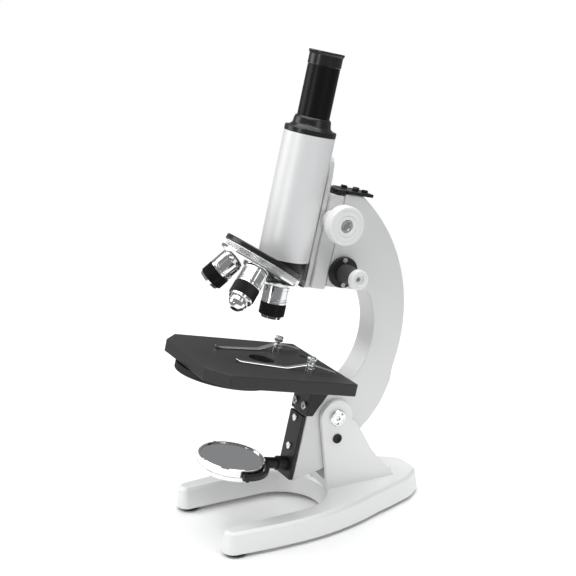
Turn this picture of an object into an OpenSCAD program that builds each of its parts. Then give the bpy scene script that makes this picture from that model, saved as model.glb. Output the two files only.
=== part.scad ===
// Monocular student microscope with an inclining arm.
// Units are millimetres. +Z is up, the stage faces -Y, and +X is the right-hand side.
// The arm frame has its origin on the inclination hinge and its Z along the body tube.

/* [Pose] */
// Backward tilt of the arm as the part is stored, degrees
tilt = 13.5; // [0:0.5:45]
// How far the right stage clip is swung in, degrees
clip_right_swing = 14; // [0:1:25]
// How far the left stage clip is swung in, degrees
clip_left_swing = 7; // [0:1:25]

/* [Base] */
// Height of the horseshoe casting
base_h = 18; // [14:1:24]
// Height of the rubber feet
foot_h = 3; // [2:0.5:5]
// Half width of the horseshoe
base_half_w = 57; // [52:0.5:62]
// Half width of the gap between the legs
base_gap = 35.5; // [28:0.5:38]
// Radius of the heel behind the pillar
heel_r = 25.5; // [16:0.5:30]

/* [Pillar] */
// Height of the inclination hinge above the table
hinge_z = 82.6; // [75:0.2:95]
// Radius of the ears' round tops
ear_r = 14.5; // [12:0.5:18]
// Thickness of each ear
ear_t = 4.1; // [3:0.1:6]

/* [Arm] */
// Half thickness of the arm casting
arm_half = 11.5; // [9:0.5:14]
// Radius of the arm's outer curve
arm_r = 134; // [130:1:138]
// Height of the arm's head above the hinge
head_top = 180; // [176:1:184]
// Height of the head's underside above the hinge
head_bottom = 105.5; // [100:0.5:108]

/* [Stage] */
// Half width of the stage
stage_half_w = 54.5; // [45:0.5:60]
// Depth of the stage from front to back
stage_depth = 125; // [110:1:130]
// Thickness of the stage
stage_t = 10; // [6:0.5:12]
// Radius of the hole under the specimen
stage_hole_r = 12; // [8:0.5:15]

/* [Tube] */
// Radius of the body tube
tube_r = 20; // [18:0.5:22]
// Radius of the eyepiece tube
eye_tube_r = 12.6; // [12.4:0.1:13.5]
// Radius of the eyepiece barrel, a standard push fit
eye_barrel_r = 11.6; // [11.4:0.1:11.8]
// Height of the eyepiece rim above the hinge
eye_top = 283; // [275:1:290]

/* [Nosepiece] */
// Forward lean of the turret's axis, degrees
lean = 21.2; // [18:0.2:24]
// Radius of the knurled turret ring
turret_r = 33.2; // [31:0.2:35]
// Radius of the objective barrels
lens_r = 10; // [9:0.2:10.6]

/* [Focus] */
// Radius of the coarse knobs
coarse_r = 15.3; // [13:0.1:18]
// Radius of the fine knobs
fine_r = 7.4; // [6:0.2:9]
// Half the distance between the knobs' outer faces
knob_face = 38; // [34:0.5:42]
// Teeth on the coarse pinion
pinion_teeth = 11; // [11:1:11]

/* [Mirror] */
// Outer radius of the mirror's ring
mirror_r = 27; // [22:0.5:28]
// Height of the mirror's centre below the hinge
mirror_drop = 46.5; // [40:0.5:50]
// How far in front of the tube's axis the mirror's centre stands
mirror_ahead = 8; // [0:0.5:10]
// Turn of the fork about its stem as the part is stored, degrees
mirror_swivel = 4.5; // [-20:0.5:20]
// Turn of the mirror in its fork as the part is stored, degrees
mirror_tilt = 3.9; // [-20:0.1:20]

/* [Hidden] */
$fn = 96;
eps = 0.01;

// Frame: the origin is under the middle of the whole part
hinge_y = 24.45;
base_top = foot_h + base_h;

// Base outline
side_r = 200;
side_y = -55;
front_side_r = 450;
toe_r = 9.3;
toe_x = 44.75;
toe_y = -107;
heel_y = 56.5;
gap_y = -45;
gap_front = 36.2;
foot_r = 9;
foot_x = 45;
heel_foot_y = 62;
foot_screw_r = 2;

// Pillar
ear_in = 12.1;
ear_out = ear_in + ear_t;
ear_front = -8.2;
ear_rear = 56;
web_t = 6;
pillar_screw_r = 3;
pillar_screw_y = [10, 38];
hinge_r = 4;
run_fit = 0.06;
bolt_head_r = 6.8;
bolt_head_t = 2.2;
washer_r = 9;
stop_reach = 18.3;
stop_pin_r = 2.5;
stop_head_r = 4;

// Arm
arm_centre = [-87.2, 65];
head_front = -34.5;
foot_front = -25.5;
shoulder_z = 30;
gap_centre = [-43.6, 66];
gap_r = 62.4;
cap_half = 12.8;
cap_front = -33.6;
cap_rear = -10.2;
cap_t = 2.6;
stop_front = -42.3;
slot_half = 4.15;
slot_wide = 6.15;
slot_depth = 3.5;
slot_back = -25;

// Stage
stage_z = shoulder_z + stage_t;
stage_rear = -13;
stage_front = stage_rear - stage_depth;
tube_y = -71.2;
stage_chamfer = [17.7, 14.5];
stage_corner = 6;
bracket_front = -27.4;
bracket_half = 13;
post_x = 28;
post_y = -43;
post_r = 2.4;
post_top = 52;
clip_t = 0.8;
clip_z = 46;
clip_flat_z = stage_z + 0.15;

// Tube, slide and focusing block
tube_bottom = 122.4;
tube_top = 220;
tube_wall = 1.6;
block_front = -47.7;
block_back = -35;
block_bottom = 103;
block_top = 178;
slide_bottom = 102.5;
slide_top = 206;
slide_back = -48;
slide_front = -52;
slide_half = 9;
slide_top_r = 7.6;
pocket_top = 201.2;
neck_half = 5.2;
dove_half = 6.5;
dove_front = -49.9;
channel_half = 3.4;
coarse_y = -43.7;
coarse_z = 158.6;
gear_module = 0.8;
pitch_r = gear_module * pinion_teeth / 2;
coarse_shaft_r = 2.5;
bushing_r = 3.8;
coarse_t = 9.5;
coarse_hub_r = 8;
fine_y = -22.7;
fine_z = 118.6;
fine_shaft_r = 2;
flange_r = 12.5;
flange_t = 3;
fine_cap_t = 5;
screw_y = -29.5;
screw_r = 1.5;
nut_z = 126;

// Nosepiece
ring_y = -89.2;
ring_z = 117.2;
apex_z = 163.6;
disc_t = 5.7;
ring_t = 5;
ring_top = 1.6;
seat = 63.5;
groove_s = 73.5;
knurl_s = 77.4;
grip_end = 87.2;
short_end = 89.6;
long_end = 98;
lens_bore = 6;

// Diaphragm
iris_r = 38.5;
iris_y = -102;
iris_t = 5.2;
iris_z = 24.2;
iris_reach = iris_y - tube_y;

// Mirror
mirror_t = 10.5;
fork_in = 28.2;
fork_out = 31.5;
fork_t = 5;
bar_half = 10.8;
bar_t = 3.4;
bar_top = -2.5;
bar_bottom = -57;
stem_r = 3;
socket_r = 6;
socket_t = 9;

// Moves from the arm frame into the part's frame
module on_arm() {
    translate([0, hinge_y, hinge_z])
        rotate([-tilt, 0, 0])
            children();
}

// Origin on the body tube's axis, level with the hinge
module on_tube() {
    on_arm()
        translate([0, tube_y, 0])
            children();
}

// Origin at the turret's centre, Z up along the turret's axis
module on_nose() {
    on_arm()
        translate([0, ring_y, ring_z])
            rotate([-lean, 0, 0])
                children();
}

// Origin where all the objectives' axes meet, -Z along the objective at a turn of the turret
module on_objective(turn) {
    on_arm()
        translate([0, tube_y, apex_z])
            rotate([-lean, 0, 0])
                rotate([0, 0, turn])
                    rotate([lean, 0, 0])
                        children();
}

// Origin on the hinge, not tilted
module on_base() {
    translate([0, hinge_y, 0])
        children();
}

// A side profile in Y and Z, made as thick as 2 * half along X
module side_plate(half) {
    rotate([90, 0, 90])
        linear_extrude(2 * half, center = true)
            children();
}

// A rod along X between two places
module x_rod(r, x0, x1) {
    translate([x0, 0, 0])
        rotate([0, 90, 0])
            cylinder(r = r, h = x1 - x0);
}

// A rod along Y between two places
module y_rod(r, y0, y1) {
    translate([0, y0, 0])
        rotate([-90, 0, 0])
            cylinder(r = r, h = y1 - y0);
}

// The same piece on both sides
module both_sides() {
    children();
    mirror([1, 0, 0])
        children();
}

// A tube with a bore right through
module pipe(r_out, r_in, h) {
    difference() {
        cylinder(r = r_out, h = h);
        translate([0, 0, -eps])
            cylinder(r = r_in, h = h + 2 * eps);
    }
}

// A slotted round-head screw with its head up and its shank down
module slotted_screw(head_r, head_t, shank_r, shank_l) {
    difference() {
        union() {
            cylinder(r = head_r, h = head_t);
            translate([0, 0, -shank_l])
                cylinder(r = shank_r, h = shank_l + eps);
        }
        translate([-head_r, -head_r * 0.12, head_t * 0.5])
            cube([2 * head_r, head_r * 0.24, head_t]);
    }
}

// A socket-head screw with its head up and its shank down
module socket_screw(head_r, head_t, shank_r, shank_l) {
    difference() {
        union() {
            cylinder(r = head_r, h = head_t);
            translate([0, 0, -shank_l])
                cylinder(r = shank_r, h = shank_l + eps);
        }
        translate([0, 0, head_t * 0.4])
            cylinder(r = head_r * 0.55, h = head_t, $fn = 6);
    }
}

// ---------- Base ----------

// Between two mirrored arcs of radius r, from y0 to y1
module lens_slab(r, y0, y1) {
    linear_extrude(base_h)
        intersection() {
            translate([base_half_w - r, side_y])
                circle(r, $fn = 360);
            translate([r - base_half_w, side_y])
                circle(r, $fn = 360);
            translate([-base_half_w, y0])
                square([2 * base_half_w, y1 - y0]);
        }
}

module base_solid() {
    difference() {
        union() {
            lens_slab(side_r, side_y, heel_y);
            lens_slab(front_side_r, toe_y + 1, side_y + eps);
            translate([0, heel_y, 0])
                cylinder(r = heel_r, h = base_h);
            for (side = [-1, 1])
                translate([side * toe_x, toe_y, 0])
                    cylinder(r = toe_r, h = base_h);
        }
        translate([0, gap_y, -1])
            cylinder(r = base_gap, h = base_h + 2);
        translate([0, 0, -1])
            linear_extrude(base_h + 2)
                polygon([[-base_gap, gap_y], [base_gap, gap_y],
                    [gap_front, toe_y - toe_r - 1], [-gap_front, toe_y - toe_r - 1]]);
    }
}

module foot_places() {
    both_sides()
        translate([foot_x, toe_y + 2, 0])
            children();
    translate([0, heel_foot_y, 0])
        children();
}

module base_casting() {
    color("whitesmoke")
        on_base()
            difference() {
                translate([0, 0, foot_h])
                    base_solid();
                foot_places()
                    translate([0, 0, foot_h - eps])
                        cylinder(r = foot_screw_r, h = 8);
                both_sides()
                    for (y = pillar_screw_y)
                        translate([ear_in + ear_t / 2, y, foot_h - eps]) {
                            cylinder(r = pillar_screw_r, h = base_h + 1);
                            cylinder(r = 5.4, h = 6);
                        }
            }
}

module rubber_feet() {
    color("black")
        on_base()
            foot_places()
                difference() {
                    union() {
                        translate([0, 0, foot_h - 1.5])
                            cylinder(r = foot_r, h = 1.5);
                        cylinder(r1 = foot_r - 2, r2 = foot_r, h = foot_h - 1.5 + eps);
                    }
                    translate([0, 0, -eps])
                        cylinder(r = 4.2, h = 1.6);
                    cylinder(r = foot_screw_r, h = foot_h + eps);
                }
}

module foot_screws() {
    color("silver")
        on_base()
            foot_places()
                translate([0, 0, 1.6])
                    mirror([0, 0, 1])
                        slotted_screw(3.9, 1.2, foot_screw_r, 8);
}

// ---------- Pillar ----------

module ear_profile() {
    translate([0, hinge_z])
        circle(ear_r);
    polygon([[-ear_r, hinge_z], [ear_front, base_top], [ear_rear, base_top],
        [33, 48], [22, 68], [ear_r, hinge_z]]);
}

module pillar() {
    color("whitesmoke")
        on_base()
            difference() {
                union() {
                    both_sides()
                        translate([ear_in + ear_t / 2, 0, 0])
                            side_plate(ear_t / 2)
                                ear_profile();
                    translate([-ear_in - eps, ear_front, base_top])
                        cube([2 * (ear_in + eps), ear_rear - ear_front, web_t]);
                    side_plate(ear_in + eps)
                        polygon([[ear_rear - 5, base_top], [ear_rear, base_top],
                            [34, 44], [29, 44]]);
                }
                translate([0, 0, hinge_z])
                    x_rod(hinge_r, -ear_out - 1, ear_out + 1);
                translate([0, 0, hinge_z - stop_reach])
                    x_rod(stop_pin_r, -ear_out - 1, ear_out + 1);
                both_sides()
                    for (y = pillar_screw_y)
                        translate([ear_in + ear_t / 2, y, base_top - 1])
                            cylinder(r = 1.8, h = 9);
            }
}

module pillar_screws() {
    color("silver")
        on_base()
            both_sides()
                for (y = pillar_screw_y)
                    translate([ear_in + ear_t / 2, y, foot_h + 2]) {
                        difference() {
                            cylinder(r = 5, h = 4);
                            translate([0, 0, -eps])
                                cylinder(r = 2.4, h = 2.4, $fn = 6);
                        }
                        cylinder(r = 1.8, h = base_h + 5);
                    }
}

module hinge_bolt() {
    color("gainsboro")
        on_base()
            translate([0, 0, hinge_z])
                difference() {
                    union() {
                        x_rod(hinge_r, -ear_out - 5, ear_out + eps);
                        x_rod(bolt_head_r, ear_out, ear_out + bolt_head_t);
                    }
                    translate([ear_out + bolt_head_t - 1, 0, 0])
                        for (side = [-1, 1])
                            translate([0, side * bolt_head_r * 0.62 - 0.8, -2.4])
                                cube([2, 1.6, 4.8]);
                    x_rod(1.6, ear_out + bolt_head_t - 1.2, ear_out + bolt_head_t + 1);
                }
}

module hinge_nut() {
    color("gainsboro")
        on_base()
            translate([0, 0, hinge_z])
                difference() {
                    x_rod(bolt_head_r, -ear_out - 3.6, -ear_out);
                    x_rod(hinge_r, -ear_out - 4, -ear_out + 1);
                    translate([-ear_out - 4, 0, 0])
                        for (side = [-1, 1])
                            translate([-1, side * bolt_head_r * 0.8 - 0.8, -1.2])
                                cube([2.4, 1.6, 2.4]);
                }
}

module hinge_washers() {
    color("silver")
        on_base()
            translate([0, 0, hinge_z])
                both_sides()
                    difference() {
                        x_rod(washer_r, arm_half + 0.1, ear_in);
                        x_rod(hinge_r, arm_half - 1, ear_in + 1);
                    }
}

module stop_screws() {
    color("black")
        on_base()
            translate([0, 0, hinge_z - stop_reach])
                both_sides()
                    difference() {
                        union() {
                            x_rod(stop_head_r, ear_out, ear_out + 1.2);
                            x_rod(stop_pin_r, arm_half - 4, ear_out + eps);
                        }
                        translate([ear_out - 1, 0, 0])
                            rotate([0, 90, 0])
                                cylinder(r = 1.7, h = 3, $fn = 6);
                    }
}

// ---------- Arm ----------

module arm_profile() {
    difference() {
        intersection() {
            translate(arm_centre)
                circle(arm_r, $fn = 360);
            polygon([[head_front, head_top], [60, head_top], [60, -20], [foot_front + 1, -20],
                [foot_front, 0], [foot_front, shoulder_z], [head_front, shoulder_z]]);
        }
        intersection() {
            translate(gap_centre)
                circle(gap_r, $fn = 360);
            translate([head_front - 1, shoulder_z])
                square([gap_r, head_bottom - shoulder_z]);
        }
    }
}

// The blind curved slot that a stop screw runs in, over the arm's whole tilt
module stop_slot() {
    gap = stop_pin_r + 0.3;
    rotate([-8.6, 0, 0])
        rotate([0, 90, 0])
            rotate_extrude(angle = 62.2, $fn = 96)
                translate([stop_reach - gap, arm_half - 5])
                    square([2 * gap, 6]);
}

module arm_casting() {
    color("gainsboro")
        on_arm()
            difference() {
                union() {
                    side_plate(arm_half)
                        arm_profile();
                    side_plate(arm_half)
                        polygon([[foot_front, 0], [10, 50], [46.7, 45], [47.6, 33], [41.4, 12.9],
                            [34.5, -0.5], [28.8, -8.6], [18, -21], [0.5, -46],
                            [foot_front, -57]]);
                }
                x_rod(hinge_r + run_fit, -arm_half - 1, arm_half + 1);
                both_sides()
                    stop_slot();
                translate([-slot_half, head_front - 1, head_bottom + 3])
                    cube([2 * slot_half, slot_depth + 1.5, 72]);
                translate([-slot_wide, head_front + slot_depth, head_bottom + 3])
                    cube([2 * slot_wide, slot_back - head_front - slot_depth, 72]);
                translate([0, screw_y, head_bottom + 1])
                    cylinder(r = screw_r + run_fit, h = 3);
                translate([-slot_wide, slot_back - 1, fine_z - 6])
                    cube([2 * slot_wide, 8, 12]);
                translate([0, fine_y, fine_z])
                    x_rod(5, -arm_half - 1, arm_half + 1);
            }
}

module top_cap() {
    color("black")
        on_arm()
            difference() {
                translate([-cap_half, cap_front, head_top])
                    cube([2 * cap_half, cap_rear - cap_front, cap_t]);
                cap_screw_places()
                    cylinder(r = 1.6, h = 20, center = true);
            }
}

module cap_block() {
    color("black")
        on_arm()
            difference() {
                side_plate(arm_half)
                    polygon([[stop_front, head_top - 1], [stop_front, head_top + 2.3],
                        [cap_front, head_top + 2.3], [cap_front, head_top],
                        [head_front, head_top], [head_front, head_top - 1]]);
                cap_pin_places()
                    cylinder(r = 0.8, h = 9, center = true);
            }
}

module cap_screw_places() {
    for (place = [[-8, -26], [-5, -16.5], [3, -22], [6, -15]])
        translate([place[0], place[1], head_top + cap_t])
            children();
}

module cap_pin_places() {
    both_sides()
        translate([arm_half, stop_front + 6, head_top + 0.6])
            rotate([0, 90, 0])
                children();
}

module cap_screws() {
    color("dimgray")
        on_arm() {
            cap_screw_places()
                socket_screw(2.6, 1.8, 1.6, 9);
            cap_pin_places()
                slotted_screw(1.3, 0.5, 0.8, 4);
        }
}

module stage_bracket() {
    color("black")
        on_arm()
            difference() {
                union() {
                    side_plate(bracket_half)
                        polygon([[bracket_front, -1.6], [-21, -1.4], [-18.3, 4.3],
                            [-4, shoulder_z], [bracket_front, shoulder_z]]);
                    translate([-20, -32, shoulder_z - 4])
                        cube([40, 26, 4]);
                }
                translate([-arm_half - 0.1, foot_front - 0.1, -5])
                    cube([2 * arm_half + 0.2, 40, shoulder_z + 6]);
                bracket_screw_places()
                    cylinder(r = 1.6, h = 20, center = true);
                stage_screw_places()
                    cylinder(r = 1.8, h = 40, center = true);
            }
}

module bracket_screw_places() {
    for (side = [-1, 1])
        translate([side * 7.4, bracket_front, 5.8])
            rotate([90, 0, 0])
                children();
}

module bracket_screws() {
    color("gainsboro")
        on_arm()
            bracket_screw_places()
                socket_screw(3.3, 1.6, 1.6, 10);
}

module stage_outline() {
    cut = stage_chamfer;
    w = stage_half_w;
    polygon([[-w, stage_rear - stage_corner], [-w + stage_corner, stage_rear],
        [w - stage_corner, stage_rear], [w, stage_rear - stage_corner],
        [w, stage_front + cut[1]], [w - cut[0], stage_front],
        [-w + cut[0], stage_front], [-w, stage_front + cut[1]]]);
}

module stage_screw_places() {
    for (side = [-1, 1])
        translate([side * 15.5, -24, stage_z])
            children();
}

module post_places() {
    for (side = [-1, 1])
        translate([side * post_x, post_y, stage_z])
            children();
}

module stage_plate() {
    color("dimgray")
        on_arm()
            difference() {
                translate([0, 0, shoulder_z])
                    linear_extrude(stage_t)
                        stage_outline();
                translate([0, tube_y, 0])
                    cylinder(r = stage_hole_r, h = 3 * stage_z, center = true);
                stage_screw_places() {
                    cylinder(r = 1.8, h = 40, center = true);
                    translate([0, 0, -2.2])
                        cylinder(r = 3.4, h = 3);
                }
                post_places()
                    cylinder(r = post_r, h = 16, center = true);
                translate([0, iris_y, shoulder_z - 1])
                    cylinder(r = 2, h = 8);
            }
}

module stage_screws() {
    color("black")
        on_arm()
            stage_screw_places()
                translate([0, 0, -2.2])
                    slotted_screw(3.3, 1.9, 1.8, 12);
}

module clip_posts() {
    color("gainsboro")
        on_arm()
            post_places() {
                translate([0, 0, -8])
                    cylinder(r = post_r, h = post_top - stage_z + 8 - 3);
                cylinder(r = 4, h = clip_z - stage_z - 2.6);
                translate([0, 0, post_top - stage_z - 4])
                    difference() {
                        cylinder(r = 3.6, h = 4);
                        translate([-4, -0.5, 2.6])
                            cube([8, 1, 2]);
                    }
            }
}

// A spring clip along -Y from its post, with its tip flat on the stage
module clip_strip(swing) {
    half = 2.6;
    rotate([0, 0, swing])
        difference() {
            union() {
                translate([0, 0, clip_z - 1.2])
                    cylinder(r = 4.4, h = clip_t + 0.4);
                side_plate(half)
                    polygon([[-1, clip_z - 1.2], [-1, clip_z - 1.2 + clip_t],
                        [-19, clip_flat_z + clip_t], [-56, clip_flat_z + clip_t],
                        [-60, clip_flat_z + clip_t + 1.5], [-60, clip_flat_z + 1.5],
                        [-56, clip_flat_z], [-19, clip_flat_z]]);
                side_plate(half * 0.8)
                    polygon([[1, clip_z - 1.2], [1, clip_z - 1.2 + clip_t],
                        [21, clip_z - 4 + clip_t], [21, clip_z - 4]]);
            }
            translate([0, 0, clip_z - 4])
                cylinder(r = post_r + 0.08, h = 8);
        }
}

module clip_right() {
    color("gainsboro")
        on_arm()
            translate([post_x, post_y, 0])
                clip_strip(-clip_right_swing);
}

module clip_left() {
    color("gainsboro")
        on_arm()
            translate([-post_x, post_y, 0])
                clip_strip(clip_left_swing);
}

// ---------- Disc diaphragm ----------

module diaphragm_disc() {
    apertures = [6.2, 5, 4, 2.5, 1.5];
    color("black")
        on_arm()
            translate([0, iris_y, iris_z])
                difference() {
                    cylinder(r = iris_r, h = iris_t);
                    translate([0, 0, 2])
                        cylinder(r = iris_r - 2, h = iris_t);
                    for (i = [0 : len(apertures) - 1])
                        rotate([0, 0, i * 360 / len(apertures)])
                            translate([0, -iris_reach, -1])
                                cylinder(r = apertures[i], h = iris_t);
                    translate([0, 0, -1])
                        cylinder(r = 2 + run_fit, h = iris_t);
                }
}

module diaphragm_screw() {
    color("silver")
        on_arm()
            translate([0, iris_y, iris_z - 0.2])
                mirror([0, 0, 1])
                    slotted_screw(4, 1.2, 2, shoulder_z + 6 - iris_z);
}

// ---------- Mirror ----------

// Origin at the mirror's centre, turned with the fork
module on_fork() {
    on_arm()
        translate([0, tube_y - mirror_ahead, -mirror_drop])
            rotate([0, mirror_swivel, 0])
                children();
}

module mirror_bar() {
    color("black")
        on_arm()
            difference() {
                union() {
                    translate([-bar_half, foot_front - bar_t, bar_bottom])
                        cube([2 * bar_half, bar_t, bar_top - bar_bottom]);
                    translate([0, 0, -mirror_drop])
                        y_rod(socket_r, foot_front - bar_t - socket_t, foot_front - bar_t + 1);
                }
                translate([0, 0, -mirror_drop])
                    y_rod(stem_r + run_fit, foot_front - bar_t - socket_t - 1, foot_front - 1);
                bar_screw_places()
                    cylinder(r = 1.6, h = 20, center = true);
            }
}

module bar_screw_places() {
    for (z = [-7, -31])
        translate([0, foot_front - bar_t, z])
            rotate([90, 0, 0])
                children();
}

module bar_screws() {
    color("gainsboro")
        on_arm()
            bar_screw_places()
                slotted_screw(3, 1.4, 1.6, 10);
}

module mirror_fork() {
    color("black")
        on_fork() {
                difference() {
                    translate([0, 0, -fork_t / 2])
                        cylinder(r = fork_out, h = fork_t);
                    translate([0, 0, -fork_t])
                        cylinder(r = fork_in, h = 2 * fork_t);
                    translate([-50, -50 - 3.5, -fork_t])
                        cube([100, 50, 2 * fork_t]);
                    x_rod(1.5, -50, 50);
                }
                y_rod(stem_r, fork_out - 2, foot_front - bar_t - tube_y + mirror_ahead);
                y_rod(stem_r + 1.6, fork_out - 1.5,
                    foot_front - bar_t - socket_t - tube_y + mirror_ahead - 0.3);
            }
}

module mirror_cell() {
    color("silver")
        on_fork()
            rotate([mirror_tilt, 0, 0]) {
                difference() {
                    translate([0, 0, -mirror_t / 2])
                        cylinder(r = mirror_r, h = mirror_t);
                    for (side = [0, 1])
                        mirror([0, 0, side])
                            translate([0, 0, mirror_t / 2 - 3])
                                cylinder(r = mirror_r - 2, h = 4);
                }
                both_sides() {
                    x_rod(1.5 - run_fit, mirror_r - 1, fork_out + 0.4);
                    x_rod(2.6, fork_out + 0.4, fork_out + 1.6);
                }
            }
}

module mirror_glasses() {
    dish_r = 160;
    color("lightgray")
        on_fork()
            rotate([mirror_tilt, 0, 0]) {
                translate([0, 0, mirror_t / 2 - 3])
                    cylinder(r = mirror_r - 2, h = 2);
                difference() {
                    translate([0, 0, -mirror_t / 2 + 0.6])
                        cylinder(r = mirror_r - 2, h = 2.4);
                    translate([0, 0, -mirror_t / 2 + 2.4 - dish_r])
                        sphere(dish_r, $fn = 180);
                }
            }
}

// ---------- Fine focus ----------

module fine_flanges() {
    color("black")
        on_arm()
            translate([0, fine_y, fine_z])
                both_sides()
                    difference() {
                        union() {
                            x_rod(flange_r, arm_half, arm_half + flange_t);
                            x_rod(5, slot_wide, arm_half + eps);
                        }
                        x_rod(fine_shaft_r + run_fit, 0, 30);
                        flange_screw_places()
                            cylinder(r = 1, h = 10, center = true);
                    }
}

module flange_screw_places() {
    for (turn = [8, 188])
        rotate([turn, 0, 0])
            translate([arm_half + flange_t, 0, flange_r - 2.8])
                rotate([0, 90, 0])
                    children();
}

module flange_screws() {
    color("silver")
        on_arm()
            translate([0, fine_y, fine_z])
                both_sides()
                    flange_screw_places()
                        slotted_screw(2, 0.7, 1, 3);
}

module fine_shaft() {
    teeth = 8;
    color("silver")
        on_arm()
            translate([0, fine_y, fine_z]) {
                x_rod(fine_shaft_r, -knob_face + 4, knob_face - 4);
                difference() {
                    x_rod(2.6, -5, 5);
                    for (i = [0 : teeth - 1])
                        rotate([i * 360 / teeth, 0, 0])
                            translate([-6, -0.35, 2.05])
                                cube([12, 0.7, 2]);
                }
            }
}

module fine_knob() {
    difference() {
        x_rod(fine_r, arm_half + flange_t + 0.4, knob_face + 1 - fine_cap_t);
        x_rod(fine_shaft_r, 0, knob_face + 5);
    }
}

module fine_knob_right() {
    color("dimgray")
        on_arm()
            translate([0, fine_y, fine_z])
                fine_knob();
}

module fine_knob_left() {
    color("dimgray")
        on_arm()
            translate([0, fine_y, fine_z])
                mirror([1, 0, 0])
                    fine_knob();
}

module fine_knob_caps() {
    face = knob_face + 1;
    color("whitesmoke")
        on_arm()
            translate([0, fine_y, fine_z])
                both_sides()
                    difference() {
                        x_rod(fine_r + 0.5, face - fine_cap_t, face);
                        x_rod(fine_shaft_r, 0, face - 2);
                        x_rod(4.4, face - 2.4, face + 1);
                    }
}

module fine_screw() {
    wheel_teeth = 20;
    color("goldenrod")
        on_arm()
            translate([0, screw_y, 0]) {
                translate([0, 0, head_bottom + 1.4])
                    cylinder(r = screw_r, h = 32);
                translate([0, 0, fine_z - 3])
                    difference() {
                        cylinder(r = 4.1, h = 6);
                        for (i = [0 : wheel_teeth - 1])
                            rotate([0, 0, i * 360 / wheel_teeth])
                                translate([3.5, -0.25, -1])
                                    cube([2, 0.5, 8]);
                    }
            }
}

// ---------- Focusing block ----------

module rail_profile(grow) {
    for (side = [-1, 1])
        polygon([[side * (channel_half - grow), block_front + 1],
            [side * (neck_half + grow), block_front + 1],
            [side * (neck_half + grow), block_front],
            [side * (dove_half + grow), dove_front - grow],
            [side * (channel_half - grow), dove_front - grow]]);
}

module focusing_block() {
    color("white")
        on_arm()
            difference() {
                union() {
                    translate([-arm_half, block_front, block_bottom])
                        cube([2 * arm_half, block_back - block_front, block_top - block_bottom]);
                    translate([0, 0, block_bottom])
                        linear_extrude(block_top - block_bottom)
                            rail_profile(0);
                    translate([-slot_half + 0.15, block_back - eps, nut_z + 5])
                        cube([2 * slot_half - 0.3, 4.5, 45]);
                    translate([-slot_wide + 0.15, head_front + slot_depth + 0.15, nut_z + 5])
                        cube([2 * slot_wide - 0.3, slot_back - head_front - slot_depth - 0.3, 45]);
                }
                translate([0, coarse_y, coarse_z]) {
                    x_rod(bushing_r, -arm_half - 1, arm_half + 1);
                    x_rod(pitch_r + gear_module + 0.4, -channel_half, channel_half);
                }
                translate([-channel_half, dove_front - 1, block_bottom - 1])
                    cube([2 * channel_half, 4.1, block_top]);
                translate([0, screw_y, nut_z])
                    cylinder(r = screw_r + 0.6, h = 18);
            }
}

module fine_nut() {
    color("goldenrod")
        on_arm()
            difference() {
                translate([-4, -33, nut_z])
                    cube([8, 7, 5]);
                translate([0, screw_y, nut_z - 1])
                    cylinder(r = screw_r + run_fit, h = 8);
            }
}

module pinion_bushings() {
    color("goldenrod")
        on_arm()
            translate([0, coarse_y, coarse_z])
                both_sides()
                    difference() {
                        x_rod(bushing_r, channel_half, arm_half + 0.6);
                        x_rod(coarse_shaft_r + run_fit, 0, arm_half + 2);
                    }
}

// ---------- Coarse focus ----------

// A point on the involute of a circle of radius r, turned by a roll angle
function involute(r, roll) = [
    r * (cos(roll) + roll * PI / 180 * sin(roll)),
    r * (sin(roll) - roll * PI / 180 * cos(roll))];

function turned(p, a) = [p[0] * cos(a) - p[1] * sin(a), p[0] * sin(a) + p[1] * cos(a)];

// One flank of a tooth of the pinion, from the base circle to the tip
pressure = 20;
base_r = pitch_r * cos(pressure);
tip_r = pitch_r + gear_module * 0.9;
tip_roll = acos(base_r / tip_r);
flank_rolls = [for (i = [0 : 4]) tan(tip_roll) * 180 / PI * i / 4];
half_tooth = 90 / pinion_teeth - 2.2 + (tan(pressure) * 180 / PI - pressure);

module pinion_profile() {
    circle(pitch_r - gear_module * 1.2);
    for (i = [0 : pinion_teeth - 1])
        rotate([0, 0, i * 360 / pinion_teeth])
            polygon(concat([[0, 0]],
                [for (roll = flank_rolls) turned(involute(base_r, roll), -half_tooth)],
                [for (i = [4 : -1 : 0])
                    let (p = turned(involute(base_r, flank_rolls[i]), -half_tooth)) [p[0], -p[1]]]));
}

module pinion_shaft() {
    color("silver")
        on_arm()
            translate([0, coarse_y, coarse_z]) {
                x_rod(coarse_shaft_r, -knob_face + 6, knob_face - 6);
                rotate([0, -90, 0])
                    linear_extrude(6, center = true)
                        rotate([0, 0, -90])
                            pinion_profile();
            }
}

module coarse_knob() {
    inner = knob_face - coarse_t;
    difference() {
        union() {
            x_rod(coarse_hub_r, arm_half + 1, inner + eps);
            x_rod(coarse_r, inner, knob_face);
        }
        x_rod(coarse_shaft_r, 0, knob_face + 1);
        x_rod(5.4, knob_face - 4, knob_face + 1);
        difference() {
            x_rod(8.6, knob_face - 0.5, knob_face + 1);
            x_rod(7.8, knob_face - 1, knob_face + 2);
        }
    }
}

module coarse_knob_right() {
    color("whitesmoke")
        on_arm()
            translate([0, coarse_y, coarse_z])
                coarse_knob();
}

module coarse_knob_left() {
    color("whitesmoke")
        on_arm()
            translate([0, coarse_y, coarse_z])
                mirror([1, 0, 0])
                    coarse_knob();
}

module coarse_knob_screws() {
    color("silver")
        on_arm()
            translate([0, coarse_y, coarse_z])
                both_sides()
                    translate([knob_face - 4, 0, 0])
                        rotate([0, 90, 0])
                            slotted_screw(4.2, 2.6, coarse_shaft_r, 2);
}

// ---------- Tube ----------

module body_tube() {
    color("white")
        difference() {
            on_tube()
                translate([0, 0, tube_bottom])
                    pipe(tube_r, tube_r - tube_wall, tube_top - tube_bottom);
            on_nose()
                translate([-turret_r, -turret_r, disc_t - 10])
                    cube([2 * turret_r, 2 * turret_r, 10.3]);
        }
}

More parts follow.
